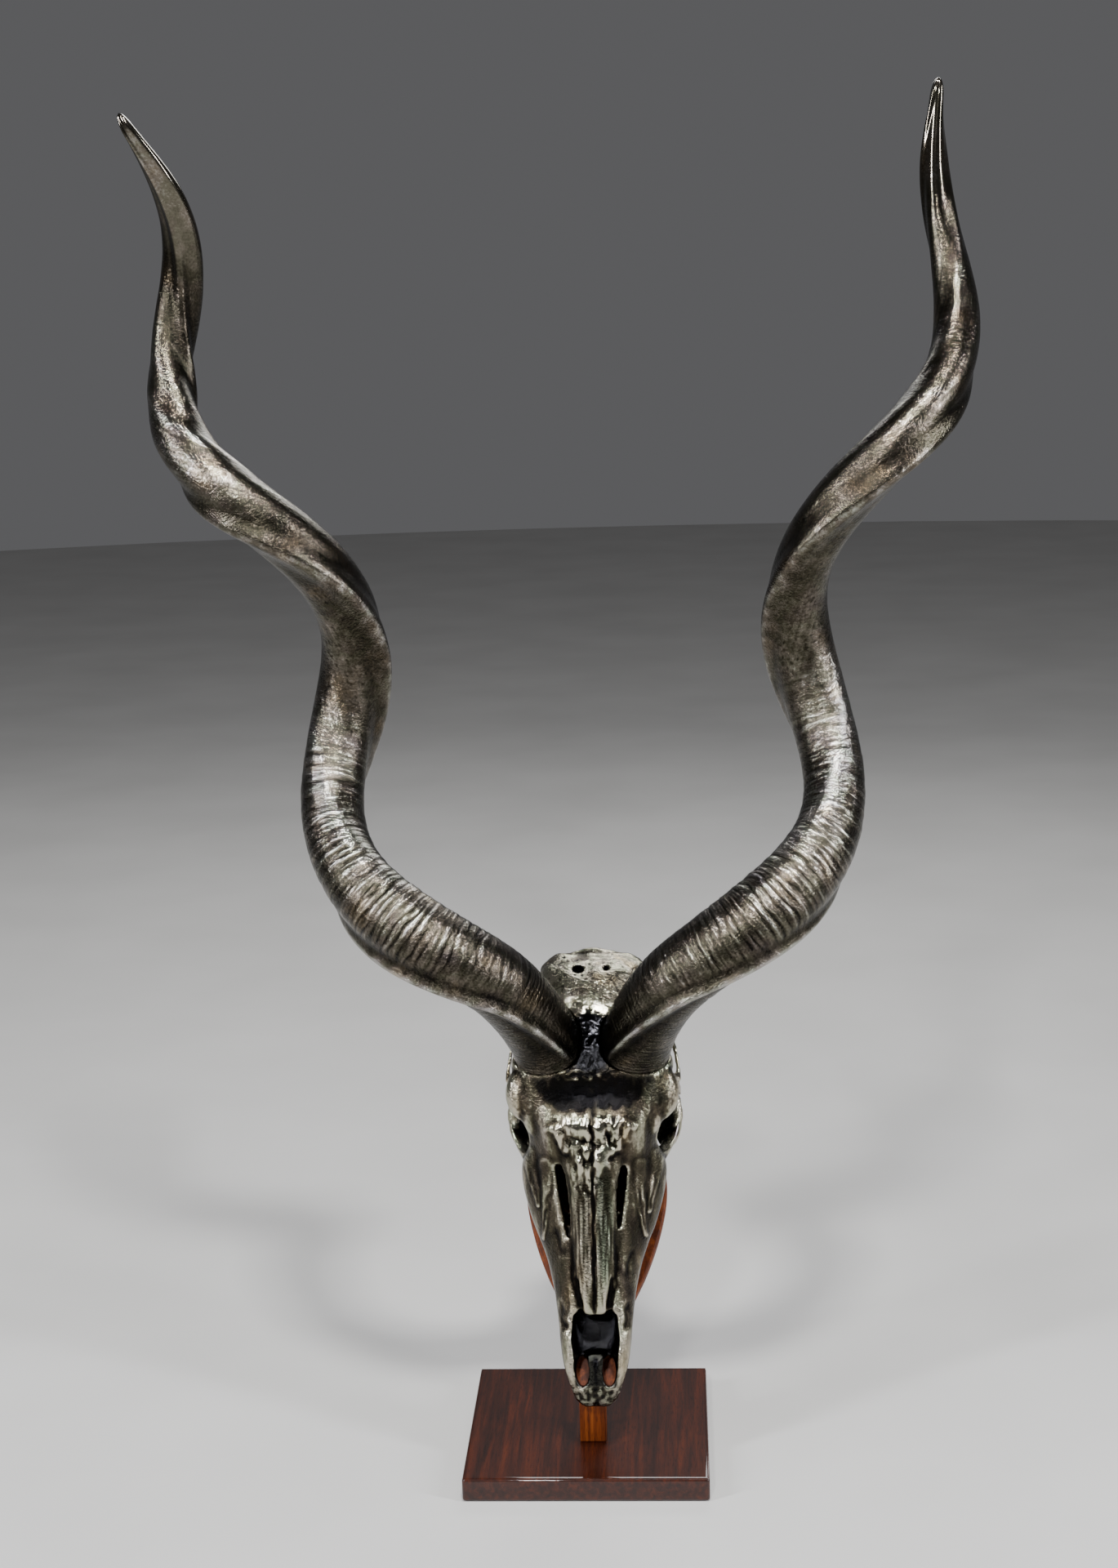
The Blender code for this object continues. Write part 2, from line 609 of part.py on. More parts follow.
def make_panel(stand_axis):
    """The spade-shaped board behind the skull, which carries it along the seating plane."""

    def build(shape):
        front = [shape.verts.new((x, 0.0, along)) for x, along in panel_outline()]
        face = shape.faces.new(front)
        wall = bmesh.ops.extrude_face_region(shape, geom=[face])
        moved = [item for item in wall["geom"] if isinstance(item, bmesh.types.BMVert)]
        bmesh.ops.translate(shape, verts=moved, vec=(0.0, PANEL_THICKNESS, 0.0))

    panel = new_object("panel", mesh_from("panel", build), amber_wood("panel_wood"))
    panel.parent = stand_axis
    start = PANEL_START * MM
    panel.location = (0.0, SEAT_DEPTH + SEAT_SLOPE * (start - SEAT_FROM_NOSE), start)
    panel.rotation_euler = (-math.atan(SEAT_SLOPE), 0.0, 0.0)
    add_bevel(panel, PANEL_EDGE)
    return panel


def make_post():
    """The square post from the base to the back of the panel, cut to the panel's slope."""
    nose = Vector(NOSE_TIP)
    lean = Matrix.Rotation(math.radians(-SKULL_LEAN), 3, "X")
    slope = Matrix.Rotation(-math.atan(SEAT_SLOPE), 3, "X")
    on_seat = nose + lean @ Vector((0.0, SEAT_DEPTH, SEAT_FROM_NOSE))
    into_panel = lean @ slope @ Vector((0.0, 1.0, 0.0))
    on_back = on_seat + into_panel * (PANEL_THICKNESS + TOUCH_GAP)
    half = POST_SIDE / 2
    bottom = BASE_THICKNESS + TOUCH_GAP

    def top_height(y):
        return on_back.z - (y - on_back.y) * into_panel.y / into_panel.z

    def build(shape):
        corners = [(-half, -half), (half, -half), (half, half), (-half, half)]
        low = [(x, y, bottom) for x, y in corners]
        high = [(x, y, top_height(POST_Y + y)) for x, y in corners]
        skin_rings(shape, [low, high])

    post = new_object("post", mesh_from("post", build), amber_wood("post_wood"))
    post.location = (POST_X, POST_Y, 0.0)
    add_bevel(post, POST_EDGE, segments=1)
    return post


def main():
    """Builds the mount."""
    clear_scene()
    stand_axis = bpy.data.objects.new("skull_place", None)
    bpy.context.scene.collection.objects.link(stand_axis)
    stand_axis.location = NOSE_TIP
    stand_axis.rotation_euler = (math.radians(-SKULL_LEAN), 0.0, 0.0)
    make_base()
    make_post()
    make_panel(stand_axis)
    for name in HORNS:
        make_horn(name)
    make_skull(stand_axis)


main()
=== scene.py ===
# %% [markdown]
# # A silvered kudu skull on a wooden stand
# The real thing is a greater kudu skull with its two spiral horns, plated with silver, darkened in the
# hollows and rubbed bright on the ridges. It leans on a spade-shaped board, and a short square post
# carries that board on a square base of red-brown hardwood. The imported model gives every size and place.
# This lesson dresses it: each solid is replaced by a finer piece that fills the same room.

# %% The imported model
import math

import bpy
import numpy as np
from mathutils import Matrix, Vector, noise


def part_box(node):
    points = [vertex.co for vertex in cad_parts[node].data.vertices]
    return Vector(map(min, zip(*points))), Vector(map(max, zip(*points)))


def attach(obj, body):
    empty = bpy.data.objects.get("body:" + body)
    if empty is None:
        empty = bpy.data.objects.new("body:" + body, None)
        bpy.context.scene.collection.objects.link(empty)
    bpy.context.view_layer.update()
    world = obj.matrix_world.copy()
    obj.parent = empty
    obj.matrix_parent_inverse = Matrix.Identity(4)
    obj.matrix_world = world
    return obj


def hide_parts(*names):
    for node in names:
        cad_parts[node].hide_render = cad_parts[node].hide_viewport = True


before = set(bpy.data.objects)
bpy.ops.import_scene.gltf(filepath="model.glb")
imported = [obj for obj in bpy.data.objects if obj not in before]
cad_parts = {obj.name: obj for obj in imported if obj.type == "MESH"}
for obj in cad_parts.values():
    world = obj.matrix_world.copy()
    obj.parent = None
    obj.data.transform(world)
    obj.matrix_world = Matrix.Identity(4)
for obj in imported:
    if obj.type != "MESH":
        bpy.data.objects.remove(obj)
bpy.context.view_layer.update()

MM = 0.001
# A place this near a face counts as on it. A direction is along an axis above ALONG, across it below ACROSS.
NEAR, ALONG, ACROSS = 0.0001, 0.9, 0.1
print("solids to dress:", sorted(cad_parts))


def only(piece):
    """Makes one piece the selected and active one, so that the next operator acts on it alone."""
    bpy.ops.object.select_all(action="DESELECT")
    piece.select_set(True)
    bpy.context.view_layer.objects.active = piece


def begin(name, add_primitive, **settings):
    """Adds a primitive with nothing else selected, because an operator acts on all that is selected."""
    bpy.ops.object.select_all(action="DESELECT")
    add_primitive(**settings)
    piece = bpy.context.object
    piece.name = name
    return piece


def apply_all(piece):
    """Writes a piece's modifiers and its place into its mesh."""
    only(piece)
    for modifier in list(piece.modifiers):
        bpy.ops.object.modifier_apply(modifier=modifier.name)
    bpy.ops.object.transform_apply(location=True, rotation=True, scale=True)


def pick(piece, wanted):
    """Selects the edges of a piece that pass a test on their middle and their direction."""
    mesh = piece.data
    mesh.polygons.foreach_set("select", [False] * len(mesh.polygons))
    mesh.vertices.foreach_set("select", [False] * len(mesh.vertices))
    for edge in mesh.edges:
        start, end = (mesh.vertices[i].co for i in edge.vertices)
        edge.select = wanted((start + end) / 2, (end - start).normalized())


def between(before, start, end, after, t):
    """The point at a share t of the way from start to end, on a smooth curve through all four."""
    cubic = 3 * start - before - 3 * end + after
    square = 2 * before - 5 * start + 4 * end - after
    return start + 0.5 * t * (end - before + t * (square + t * cubic))


def smooth_line(points, steps, closed=False):
    """Points on a smooth curve through the given ones, with so many steps between neighbours."""
    points = np.asarray(points, float)
    if closed:
        padded = np.concatenate([points[-1:], points, points[:2]])
    else:
        padded = np.concatenate([[2 * points[0] - points[1]], points, [2 * points[-1] - points[-2]]])
    curve = []
    for four in zip(padded, padded[1:], padded[2:], padded[3:]):
        curve += [between(*four, step / steps) for step in range(steps)]
    if not closed:
        curve.append(points[-1])
    return np.array(curve)


# %% [markdown]
# ## The camera, the light and the floor
# The photograph was taken from about two metres away and a little above the horns' middle, looking slightly
# down. The camera has the place and lens that this gives. The silver shows what it mirrors, so the room
# matters more than on a dull thing: soft panels of light at both sides and above give long bright bands on
# the horns, and the dimmer room between them gives the dark ones.

# %% Camera
CAMERA_PLACE = (0.0922, -1.9985, 1.0409)
YAW, PITCH, ROLL = 0.0521, 0.2039, -0.0277
LENS_PX, PHOTO_HEIGHT_PX, SENSOR_MM = 2850.5, 1920, 36.0

forward = Vector((-math.sin(YAW) * math.cos(PITCH), math.cos(YAW) * math.cos(PITCH), -math.sin(PITCH)))
level = Vector((math.cos(YAW), math.sin(YAW), 0.0))
above = level.cross(forward)
right = math.cos(ROLL) * level + math.sin(ROLL) * above
up = math.cos(ROLL) * above - math.sin(ROLL) * level
bpy.ops.object.camera_add()
camera = bpy.context.object
camera.name = "photo_camera"
turned = Matrix((right, up, -forward)).transposed().to_4x4()
camera.matrix_world = Matrix.Translation(CAMERA_PLACE) @ turned
camera.data.sensor_width = SENSOR_MM
camera.data.lens = LENS_PX / PHOTO_HEIGHT_PX * SENSOR_MM
bpy.context.scene.camera = camera
print("lens", round(camera.data.lens, 2), "mm")

# %% Light
COOL_WHITE, WHITE = (0.93, 0.94, 1.0), (1.0, 1.0, 1.0)
# Each soft box: its place, the height that it aims at, its width and height, its watts and its colour
SOFT_BOXES = {
    "left_panel": ((-2.0, -1.3, 1.6), 0.6, 0.17, 1.4, 70, COOL_WHITE),
    "right_panel": ((2.1, -1.0, 1.4), 0.6, 0.16, 1.4, 62, COOL_WHITE),
    "top_panel": ((0.2, -1.3, 2.9), 0.5, 0.34, 0.26, 100, WHITE),
    "front_panel": ((-0.5, -3.0, 2.3), 0.5, 0.26, 0.22, 62, WHITE),
    "back_panel": ((0.3, 2.2, 2.2), 0.7, 1.6, 0.8, 30, WHITE),
}
for name, (place, aim, width, height, watts, colour) in SOFT_BOXES.items():
    bpy.ops.object.light_add(type="AREA", location=place)
    lamp = bpy.context.object
    lamp.name = name
    lamp.data.shape = "RECTANGLE"
    lamp.data.size = width
    lamp.data.size_y = height
    lamp.data.energy = watts
    lamp.data.color = colour
    lamp.rotation_euler = (Vector((0, 0, aim)) - Vector(place)).to_track_quat("-Z", "Y").to_euler()

world = bpy.data.worlds.new("dim_room")
bpy.context.scene.world = world
world.use_nodes = True
room = world.node_tree.nodes["Background"].inputs
room["Color"].default_value = (0.26, 0.26, 0.27, 1.0)
room["Strength"].default_value = 0.42
print(len(SOFT_BOXES), "panels of light in a dim room")

# %% Floor
# The floor lies a hair below the base, so that their faces don't meet.
FLOOR_RADIUS, FLOOR_DROP = 9.0, 0.0002
floor = begin("floor", bpy.ops.mesh.primitive_circle_add, vertices=96, radius=FLOOR_RADIUS, fill_type="NGON")
floor.location.z = -FLOOR_DROP
apply_all(floor)
print("floor", round(floor.dimensions.x, 2), "m across")


# %% [markdown]
# ## Finishes
# A finish starts from what the real one is and how it was made. One small function turns the colours that
# the eye reads off a screen into linear ones, and another adds a node with its settings and links.

# %% Colour and node helpers
def linear(hex_colour):
    """The linear colour of an sRGB hex value such as 'C8BFA9'."""
    parts = [int(hex_colour[i : i + 2], 16) / 255 for i in (0, 2, 4)]
    return (*((c / 12.92 if c <= 0.04045 else ((c + 0.055) / 1.055) ** 2.4) for c in parts), 1.0)


def link(material, node, links):
    """Links a node's sockets to their sources. A node that is given as a source lends its first output."""
    for socket, source in links.items():
        start = source.outputs[0] if hasattr(source, "outputs") else source
        material.node_tree.links.new(start, node.inputs[socket])


def add(material, kind, settings=(), links=(), stops=()):
    """Adds one node with its settings and links, and the (place, hex colour) stops of a colour ramp."""
    node = material.node_tree.nodes.new("ShaderNode" + kind)
    for key, value in dict(settings).items():
        if isinstance(key, str) and hasattr(node, key) and key not in node.inputs:
            setattr(node, key, value)
        else:
            node.inputs[key].default_value = value
    link(material, node, dict(links))
    for number, (place, hex_colour) in enumerate(stops):
        there = node.color_ramp.elements[number] if number < 2 else node.color_ramp.elements.new(place)
        there.position = place
        there.color = linear(hex_colour)
    return node


MULTIPLIED = {"data_type": "RGBA", "blend_type": "MULTIPLY"}


def new_finish(name, constants):
    """A material with its Principled shader, on whose own sockets these values are set."""
    material = bpy.data.materials.new(name)
    material.use_nodes = True
    shader = material.node_tree.nodes["Principled BSDF"]
    for socket, value in constants.items():
        shader.inputs[socket].default_value = value
    return material, shader


def wear(piece, material):
    """Gives a piece its finish."""
    piece.data.materials.clear()
    piece.data.materials.append(material)


# %% Floor finish
# Matt white paper off a roll: no shine, and a tone that wanders a little over a third of a metre
paper, shader = new_finish("matt_paper", {"Roughness": 0.85})
where = add(paper, "TexCoord").outputs["Object"]
mottle = add(paper, "TexNoise", {"Scale": 3.0, "Detail": 4.0}, {"Vector": where})
tone = add(paper, "ValToRGB", {}, {"Fac": mottle}, ((0.3, "B7B6B3"), (0.7, "BFBEBB")))
link(paper, shader, {"Base Color": tone})
wear(floor, paper)
print("floor finish:", paper.name)


# %% [markdown]
# ## Tubes that follow a line
# The horns, the skull's braincase and its bars of bone are all tubes whose section changes along a curved
# line. An extrude or a spin can't change the section point by point, so a tube starts as a flat grid, as a
# sheet of clay would: each row of the grid is laid on one ring of points, the two long edges meet in a
# seam that is merged, and the ends are closed.

# %% Tubes
SAME_POINT = 1e-6


def rolled_grid(name, rings):
    """A grid whose rows are laid on rings of points (rows, points in a ring, 3), as a closed tube."""
    rings = np.asarray(rings, float)
    rows, sides = rings.shape[:2]
    tube = begin(name, bpy.ops.mesh.primitive_grid_add, x_subdivisions=sides, y_subdivisions=rows - 1, size=1)
    laid = np.concatenate([rings, rings[:, :1]], axis=1)
    tube.data.vertices.foreach_set("co", laid.reshape(-1))
    bpy.ops.object.mode_set(mode="EDIT")
    bpy.ops.mesh.select_all(action="SELECT")
    bpy.ops.mesh.remove_doubles(threshold=SAME_POINT)
    bpy.ops.mesh.fill_holes(sides=0)
    bpy.ops.mesh.select_all(action="SELECT")
    bpy.ops.mesh.normals_make_consistent(inside=False)
    bpy.ops.object.mode_set(mode="OBJECT")
    return tube


def frames_along(path):
    """Two directions across a path at each of its points, carried along it without twist."""
    tangents = np.gradient(path, axis=0)
    tangents /= np.linalg.norm(tangents, axis=1)[:, None]
    across = np.cross(tangents[0], (0.36, 0.48, 0.80))
    result = []
    for tangent in tangents:
        across = across - np.dot(across, tangent) * tangent
        across = across / np.linalg.norm(across)
        result.append((across, np.cross(tangent, across)))
    return result


def rod(points, radii, facets=16, steps=6, hand=1):
    """A round bar along a smooth curve, in millimetres, with a radius at each point. Hand -1 mirrors it."""
    path = smooth_line([(x * hand, depth, height) for x, depth, height in points], steps) * MM
    sizes = smooth_line([(radius,) for radius in radii], steps)[:, 0] * MM
    angles = np.arange(facets) * 2 * math.pi / facets
    rings = [
        [centre + size * (math.cos(a) * across + math.sin(a) * other) for a in angles]
        for centre, size, (across, other) in zip(path, sizes, frames_along(path))
    ]
    return rolled_grid("rod", rings)


def ball(centre, radii, turn=0.0, hand=1):
    """An ellipsoid, in millimetres, turned by some degrees about X. Hand -1 mirrors its place."""
    shape = begin("ball", bpy.ops.mesh.primitive_uv_sphere_add, segments=40, ring_count=24, radius=1.0)
    shape.scale = [radius * MM for radius in radii]
    shape.rotation_euler = (math.radians(turn), 0.0, 0.0)
    shape.location = [value * MM for value in (centre[0] * hand, *centre[1:])]
    apply_all(shape)
    return shape


def loft(sections, steps=4, corner_steps=5):
    """A body through sections (height, half outline from front middle to back middle), in millimetres."""
    outlines = []
    for height, half in sections:
        other_half = [(-x, depth) for x, depth in reversed(half[1:-1])]
        outlines.append([(x, depth, height) for x, depth in list(half) + other_half])
    outlines = np.array(outlines, float)
    columns = np.array([smooth_line(outlines[:, i], steps) for i in range(outlines.shape[1])])
    rings = [smooth_line(ring, corner_steps, closed=True) * MM for ring in columns.transpose(1, 0, 2)]
    return rolled_grid("loft", rings)


def joined(name, shapes):
    """Several shapes as one object."""
    bpy.ops.object.select_all(action="DESELECT")
    for shape in shapes:
        shape.select_set(True)
    bpy.context.view_layer.objects.active = shapes[0]
    bpy.ops.object.join()
    whole = bpy.context.object
    whole.name = name
    return whole


def one_skin(piece, voxel):
    """Turns overlapping closed shapes into one even skin."""
    skin = piece.modifiers.new("one_skin", "REMESH")
    skin.mode = "VOXEL"
    skin.voxel_size = voxel
    apply_all(piece)


def take_out(piece, cutter):
    """Cuts another shape's volume out of a piece."""
    cut = piece.modifiers.new("cut", "BOOLEAN")
    cut.operation = "DIFFERENCE"
    cut.solver = "EXACT"
    cut.object = cutter
    apply_all(piece)
    bpy.data.objects.remove(cutter, do_unlink=True)


# %% [markdown]
# ## Reading and writing a mesh's points
# Relief such as growth rings, sutures and pits is a height at each point, pushed out along the surface's
# own direction. The hollows of that relief are where the dark patina stays, so the same sums give an
# attribute that the silver's finish reads.

# %% Points, directions, noise and hollows
def vectors_of(piece, kind):
    """One vector for each point of a mesh: its place for "co", or its outward direction for "normal"."""
    vectors = np.empty(len(piece.data.vertices) * 3)
    piece.data.vertices.foreach_get(kind, vectors)
    return vectors.reshape(-1, 3)


def set_points(piece, places):
    """Moves a mesh's points."""
    piece.data.vertices.foreach_set("co", np.ascontiguousarray(places, float).reshape(-1))
    piece.data.update()


def grain(places, size, seed):
    """Smooth noise from about -1 to 1 whose lumps have this size, or these sizes in x, y and z."""
    scaled = places / np.asarray(size, float) + seed * 17.3
    return np.array([noise.noise(Vector(point)) for point in scaled]) * 1.6


def hollow_depth(piece, rounds):
    """How far each point lies below the surface smoothed round it: above 0 in hollows, in metres."""
    mesh = piece.data
    ends = np.empty(len(mesh.edges) * 2, dtype=np.int32)
    mesh.edges.foreach_get("vertices", ends)
    one, other = ends.reshape(-1, 2).T
    places = vectors_of(piece, "co")
    count = len(places)
    neighbours = np.bincount(one, minlength=count) + np.bincount(other, minlength=count)
    smoothed = places.copy()
    for _ in range(rounds):
        sums = [
            np.bincount(one, column[other], count) + np.bincount(other, column[one], count)
            for column in smoothed.T
        ]
        smoothed = 0.5 * smoothed + 0.5 * np.stack(sums, axis=1) / np.maximum(neighbours, 1)[:, None]
    depths = ((smoothed - places) * vectors_of(piece, "normal")).sum(1)
    print(piece.name, "hollow depths, mm:", np.percentile(depths / MM, (2, 25, 50, 75, 98)).round(3))
    return depths


def note(piece, name, values):
    """Keeps a value at each point under a name that a finish can read."""
    layer = piece.data.attributes.new(name, "FLOAT", "POINT")
    layer.data.foreach_set("value", np.asarray(values, np.float32))


def bump(distance, width):
    """A smooth hump that is 1 at no distance and fades over the width."""
    return np.exp(-((distance / width) ** 2))


def rise(value, low, high):
    """Goes smoothly from 0 at low to 1 at high."""
    share = np.clip((value - low) / (high - low), 0, 1)
    return share * share * (3 - 2 * share)


# %% [markdown]
# ## Base, post and panel
# The base is one square board of red-brown hardwood, planed, sanded and varnished to a gloss, with its
# edges eased. A cube at the board's size, with its upright edges and then its rims bevelled, is what the
# joiner makes. The post is a square batten sawn to the panel's slope, so its cube is cut by a plane. The
# panel is sawn to a spade shape, so a circle is laid on that outline and extruded by the board's thickness.

# %% Base
BASE_CORNER, BASE_EDGE, BASE_FOOT_EDGE = 0.003, 0.0022, 0.0006


def block(name, low, high):
    """A box between two corners."""
    middle, size = (low + high) / 2, high - low
    piece = begin(name, bpy.ops.mesh.primitive_cube_add, size=1.0, location=middle, scale=size)
    apply_all(piece)
    return piece


def bevel_picked(piece, width, segments):
    """Rounds the picked edges."""
    only(piece)
    bpy.ops.object.mode_set(mode="EDIT")
    bpy.ops.mesh.select_mode(type="EDGE")
    bpy.ops.mesh.bevel(offset=width, segments=segments, affect="EDGES", profile=0.5)
    bpy.ops.object.mode_set(mode="OBJECT")


def smooth_by_angle(piece, degrees=35):
    """Smooth shading over soft bends, sharp edges kept."""
    only(piece)
    bpy.ops.object.shade_smooth_by_angle(angle=math.radians(degrees))


base_low, base_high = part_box("base")
base = block("base_board", base_low, base_high)
pick(base, lambda middle, along: abs(along.z) > ALONG)
bevel_picked(base, BASE_CORNER, 5)
pick(base, lambda middle, along: middle.z > base_high.z - NEAR and abs(along.z) < ACROSS)
bevel_picked(base, BASE_EDGE, 4)
pick(base, lambda middle, along: middle.z < base_low.z + NEAR and abs(along.z) < ACROSS)
bevel_picked(base, BASE_FOOT_EDGE, 2)
smooth_by_angle(base)
print("base", [round(v / MM, 1) for v in base.dimensions], "mm")

# %% The skull's place, and the sloping plane that carries it
NOSE_TIP = (0.010, -0.078, 0.075)
SKULL_LEAN = 13.0
SEAT_FROM_NOSE, SEAT_DEPTH, SEAT_SLOPE = 0.015, 0.019, 0.452
PANEL_THICKNESS = 0.018
skull_place = Matrix.Translation(NOSE_TIP) @ Matrix.Rotation(math.radians(-SKULL_LEAN), 4, "X")
seat_turn = Matrix.Rotation(-math.atan(SEAT_SLOPE), 4, "X")
print("skull leans", SKULL_LEAN, "degrees, its seat", round(math.degrees(math.atan(SEAT_SLOPE)), 1), "more")

# %% Post
POST_SPARE, POST_EDGE, POST_GAP = 0.010, 0.0012, 0.0004
post_low, post_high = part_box("post")
post = block("post_batten", post_low, post_high + Vector((0, 0, POST_SPARE)))
into_panel = (skull_place @ seat_turn).to_3x3() @ Vector((0, 1, 0))
on_back = skull_place @ Vector((0, SEAT_DEPTH, SEAT_FROM_NOSE)) + into_panel * (PANEL_THICKNESS + POST_GAP)
only(post)
bpy.ops.object.mode_set(mode="EDIT")
bpy.ops.mesh.select_all(action="SELECT")
bpy.ops.mesh.bisect(plane_co=on_back, plane_no=into_panel, use_fill=True, clear_inner=True)
bpy.ops.object.mode_set(mode="OBJECT")
pick(post, lambda middle, along: True)
bevel_picked(post, POST_EDGE, 3)
smooth_by_angle(post)
print("post", [round(v / MM, 1) for v in post.dimensions], "mm")

# %% Panel
# Half widths at distances up the slope from the lower end, in millimetres
PANEL_OUTLINE = (
    (0, 12), (14, 19), (45, 21), (80, 31), (112, 46), (146, 58), (180, 65), (208, 64), (228, 52), (240, 30)
)
PANEL_LENGTH, PANEL_START, PANEL_EDGE = 244, 6, 0.0022


def on_panel_rim(middle, along):
    """Whether an edge runs round the panel's front or back face."""
    return abs(along.y) < ACROSS and not NEAR <= middle.y <= PANEL_THICKNESS - NEAR


side = smooth_line(PANEL_OUTLINE, 6)
outline = [(half, along) for along, half in side] + [(0, PANEL_LENGTH)]
outline += [(-half, along) for along, half in side[::-1]]
disc = {"vertices": len(outline), "radius": 0.1, "fill_type": "NGON"}
panel = begin("panel_board", bpy.ops.mesh.primitive_circle_add, **disc)
set_points(panel, [(x * MM, 0.0, along * MM) for x, along in outline])
bpy.ops.object.mode_set(mode="EDIT")
bpy.ops.mesh.select_all(action="SELECT")
bpy.ops.mesh.extrude_region_move(TRANSFORM_OT_translate={"value": (0, PANEL_THICKNESS, 0)})
bpy.ops.mesh.select_all(action="SELECT")
bpy.ops.mesh.normals_make_consistent(inside=False)
bpy.ops.object.mode_set(mode="OBJECT")
pick(panel, on_panel_rim)
bevel_picked(panel, PANEL_EDGE, 4)
start = PANEL_START * MM
panel_place = Matrix.Translation((0, SEAT_DEPTH + SEAT_SLOPE * (start - SEAT_FROM_NOSE), start)) @ seat_turn
panel.data.transform(skull_place @ panel_place)
smooth_by_angle(panel)
print("panel", [round(v / MM, 1) for v in panel.dimensions], "mm")


# %% [markdown]
# ## Horns
# A kudu's horn is a keratin sheath that grows as a loose corkscrew. A keel runs the whole way up it, and
# yearly growth leaves rings that are deep near the root and fade upwards. Lines of fibre run along it.
# The middle line winds round a gently bent axis, and the section is an oval with the keel standing out of
# one end. Rings, wrinkles, fibres and pits are then added to each point as a height.

# %% The horns' driving sizes, in millimetres, degrees and whole turns
HORNS = {
    "horn_left": {
        "side": -1,
        "axis": ((119, -11, 426), (136, 26, 610), (353, 85, 930), (363, 20, 1206)),
        "coil_radii": (65, 39.5, 39, 18.5),
        "start_angle": 194,
        "turns": 1.54,
        "extra_turns": 0.69,
        "keel_half": (35, 31.5, 28, 26, 15, 6),
        "cross_half": (32.5, 29, 29, 26.5, 21, 10),
        "keel_height": (7, 11, 7, 2.3),
        "keel_angles": (63, 70, 80, 53, 158, 55),
        "root": (28.5, 18, 377),
        "seed": 3,
    },
    "horn_right": {
        "side": 1,
        "axis": ((108.5, 3, 420), (230, 45.5, 729), (333.5, 88, 992), (340.5, 118, 1220.5)),
        "coil_radii": (50, 59, 34.5, 12),
        "start_angle": 209.5,
        "turns": 2.19,
        "extra_turns": -0.283,
        "keel_half": (35, 31.5, 27.5, 23, 15, 6),
        "cross_half": (32.5, 28.5, 26, 25, 18, 9),
        "keel_height": (7, 7, 7.3, 1.6),
        "keel_angles": (50, 61, 63, 54, 63, 56),
        "root": (48.5, 18, 377),
        "seed": 8,
    },
}
# A horn leaves the skull with this heading and joins its coil at a share of the coil's length. The keel
# widens into a blade between two shares, and the tip gets slimmer and round at the end.
ROOT_HEADING = np.array((0.22, -0.36, 0.90))
ROOT_T, JOIN_T = -0.038, 0.035
KEEL_HALF_ANGLES, KEEL_RUN_IN, BLADE_FROM_TO = (0.15, 0.36), 0.03, (0.22, 0.45)
BACK_RIDGE, BACK_RIDGE_HALF_ANGLE = (1.5, 2.0), 0.45
TIP_FROM, TIP_ROUNDING, TIP_TAPER = 0.90, 0.022, 0.30
# Rows lie closer together near the root, and points closer together round the keel.
HORN_ROWS, HORN_SIDES, ROOT_CROWDING, KEEL_CROWDING = 800, 120, 0.42, 0.35
SMALL_STEP = 1e-4
# The relief stands both ways from this far inside the solid's surface.
HORN_INSET = 0.0006


# %% The middle line of a horn
def unit(rows):
    """Directions of length one."""
    return rows / np.linalg.norm(rows, axis=-1, keepdims=True)


def bent_line(points, u):
    """A smooth curve from the first point to the last that is pulled towards the two between."""
    points = np.array(points, float).reshape(4, -1)
    u = u[:, None]
    left = 1 - u
    return points[0] * left**3 + 3 * points[1] * u * left**2 + 3 * points[2] * u * u * left + points[3] * u**3


def size_along(sizes, t):
    """A smooth line through sizes that are given at even steps from 0 to 1."""
    padded = np.array([2 * sizes[0] - sizes[1], *sizes, 2 * sizes[-1] - sizes[-2]], float)
    place = np.clip(t, 0, 1) * (len(sizes) - 1)
    first = np.minimum(place.astype(int), len(sizes) - 2)
    return between(*(padded[first + i] for i in range(4)), place - first)


def horn_line(horn, t):
    """The middle line, its tangents and the keel's directions at values of t."""
    along = unit(np.subtract(horn["axis"][-1], horn["axis"][0]))
    outward = unit(np.cross((0.0, 1.0, 0.0), along))
    backward = np.cross(along, outward)

    def turn(u):
        turns = horn["turns"] * u + horn["extra_turns"] * u * u
        return math.radians(horn["start_angle"]) + 2 * math.pi * turns

    def spoke(u):
        return np.cos(turn(u))[:, None] * outward + np.sin(turn(u))[:, None] * backward

    def coil(u):
        return (bent_line(horn["axis"], u) + bent_line(horn["coil_radii"], u) * spoke(u)) * MM

    def middle(u):
        reach = JOIN_T - ROOT_T
        share = ((u - ROOT_T) / reach)[:, None]
        ends = coil(np.array((JOIN_T - SMALL_STEP, JOIN_T, JOIN_T + SMALL_STEP)))
        leaving = (ends[2] - ends[0]) / (2 * SMALL_STEP) * reach
        root = np.array(horn["root"]) * MM
        heading = ROOT_HEADING * np.linalg.norm(ends[1] - root)
        led = root * (2 * share**3 - 3 * share**2 + 1) + heading * (share**3 - 2 * share**2 + share)
        led += ends[1] * (3 * share**2 - 2 * share**3) + leaving * (share**3 - share**2)
        return np.where(u[:, None] >= JOIN_T, coil(u), led)

    tangents = unit(middle(t + SMALL_STEP) - middle(t - SMALL_STEP))
    radial = spoke(t)
    radial = unit(radial - (radial * tangents).sum(1)[:, None] * tangents)
    angle = np.radians(size_along(horn["keel_angles"], t))[:, None]
    return middle(t), tangents, np.cos(angle) * radial + np.sin(angle) * np.cross(tangents, radial)


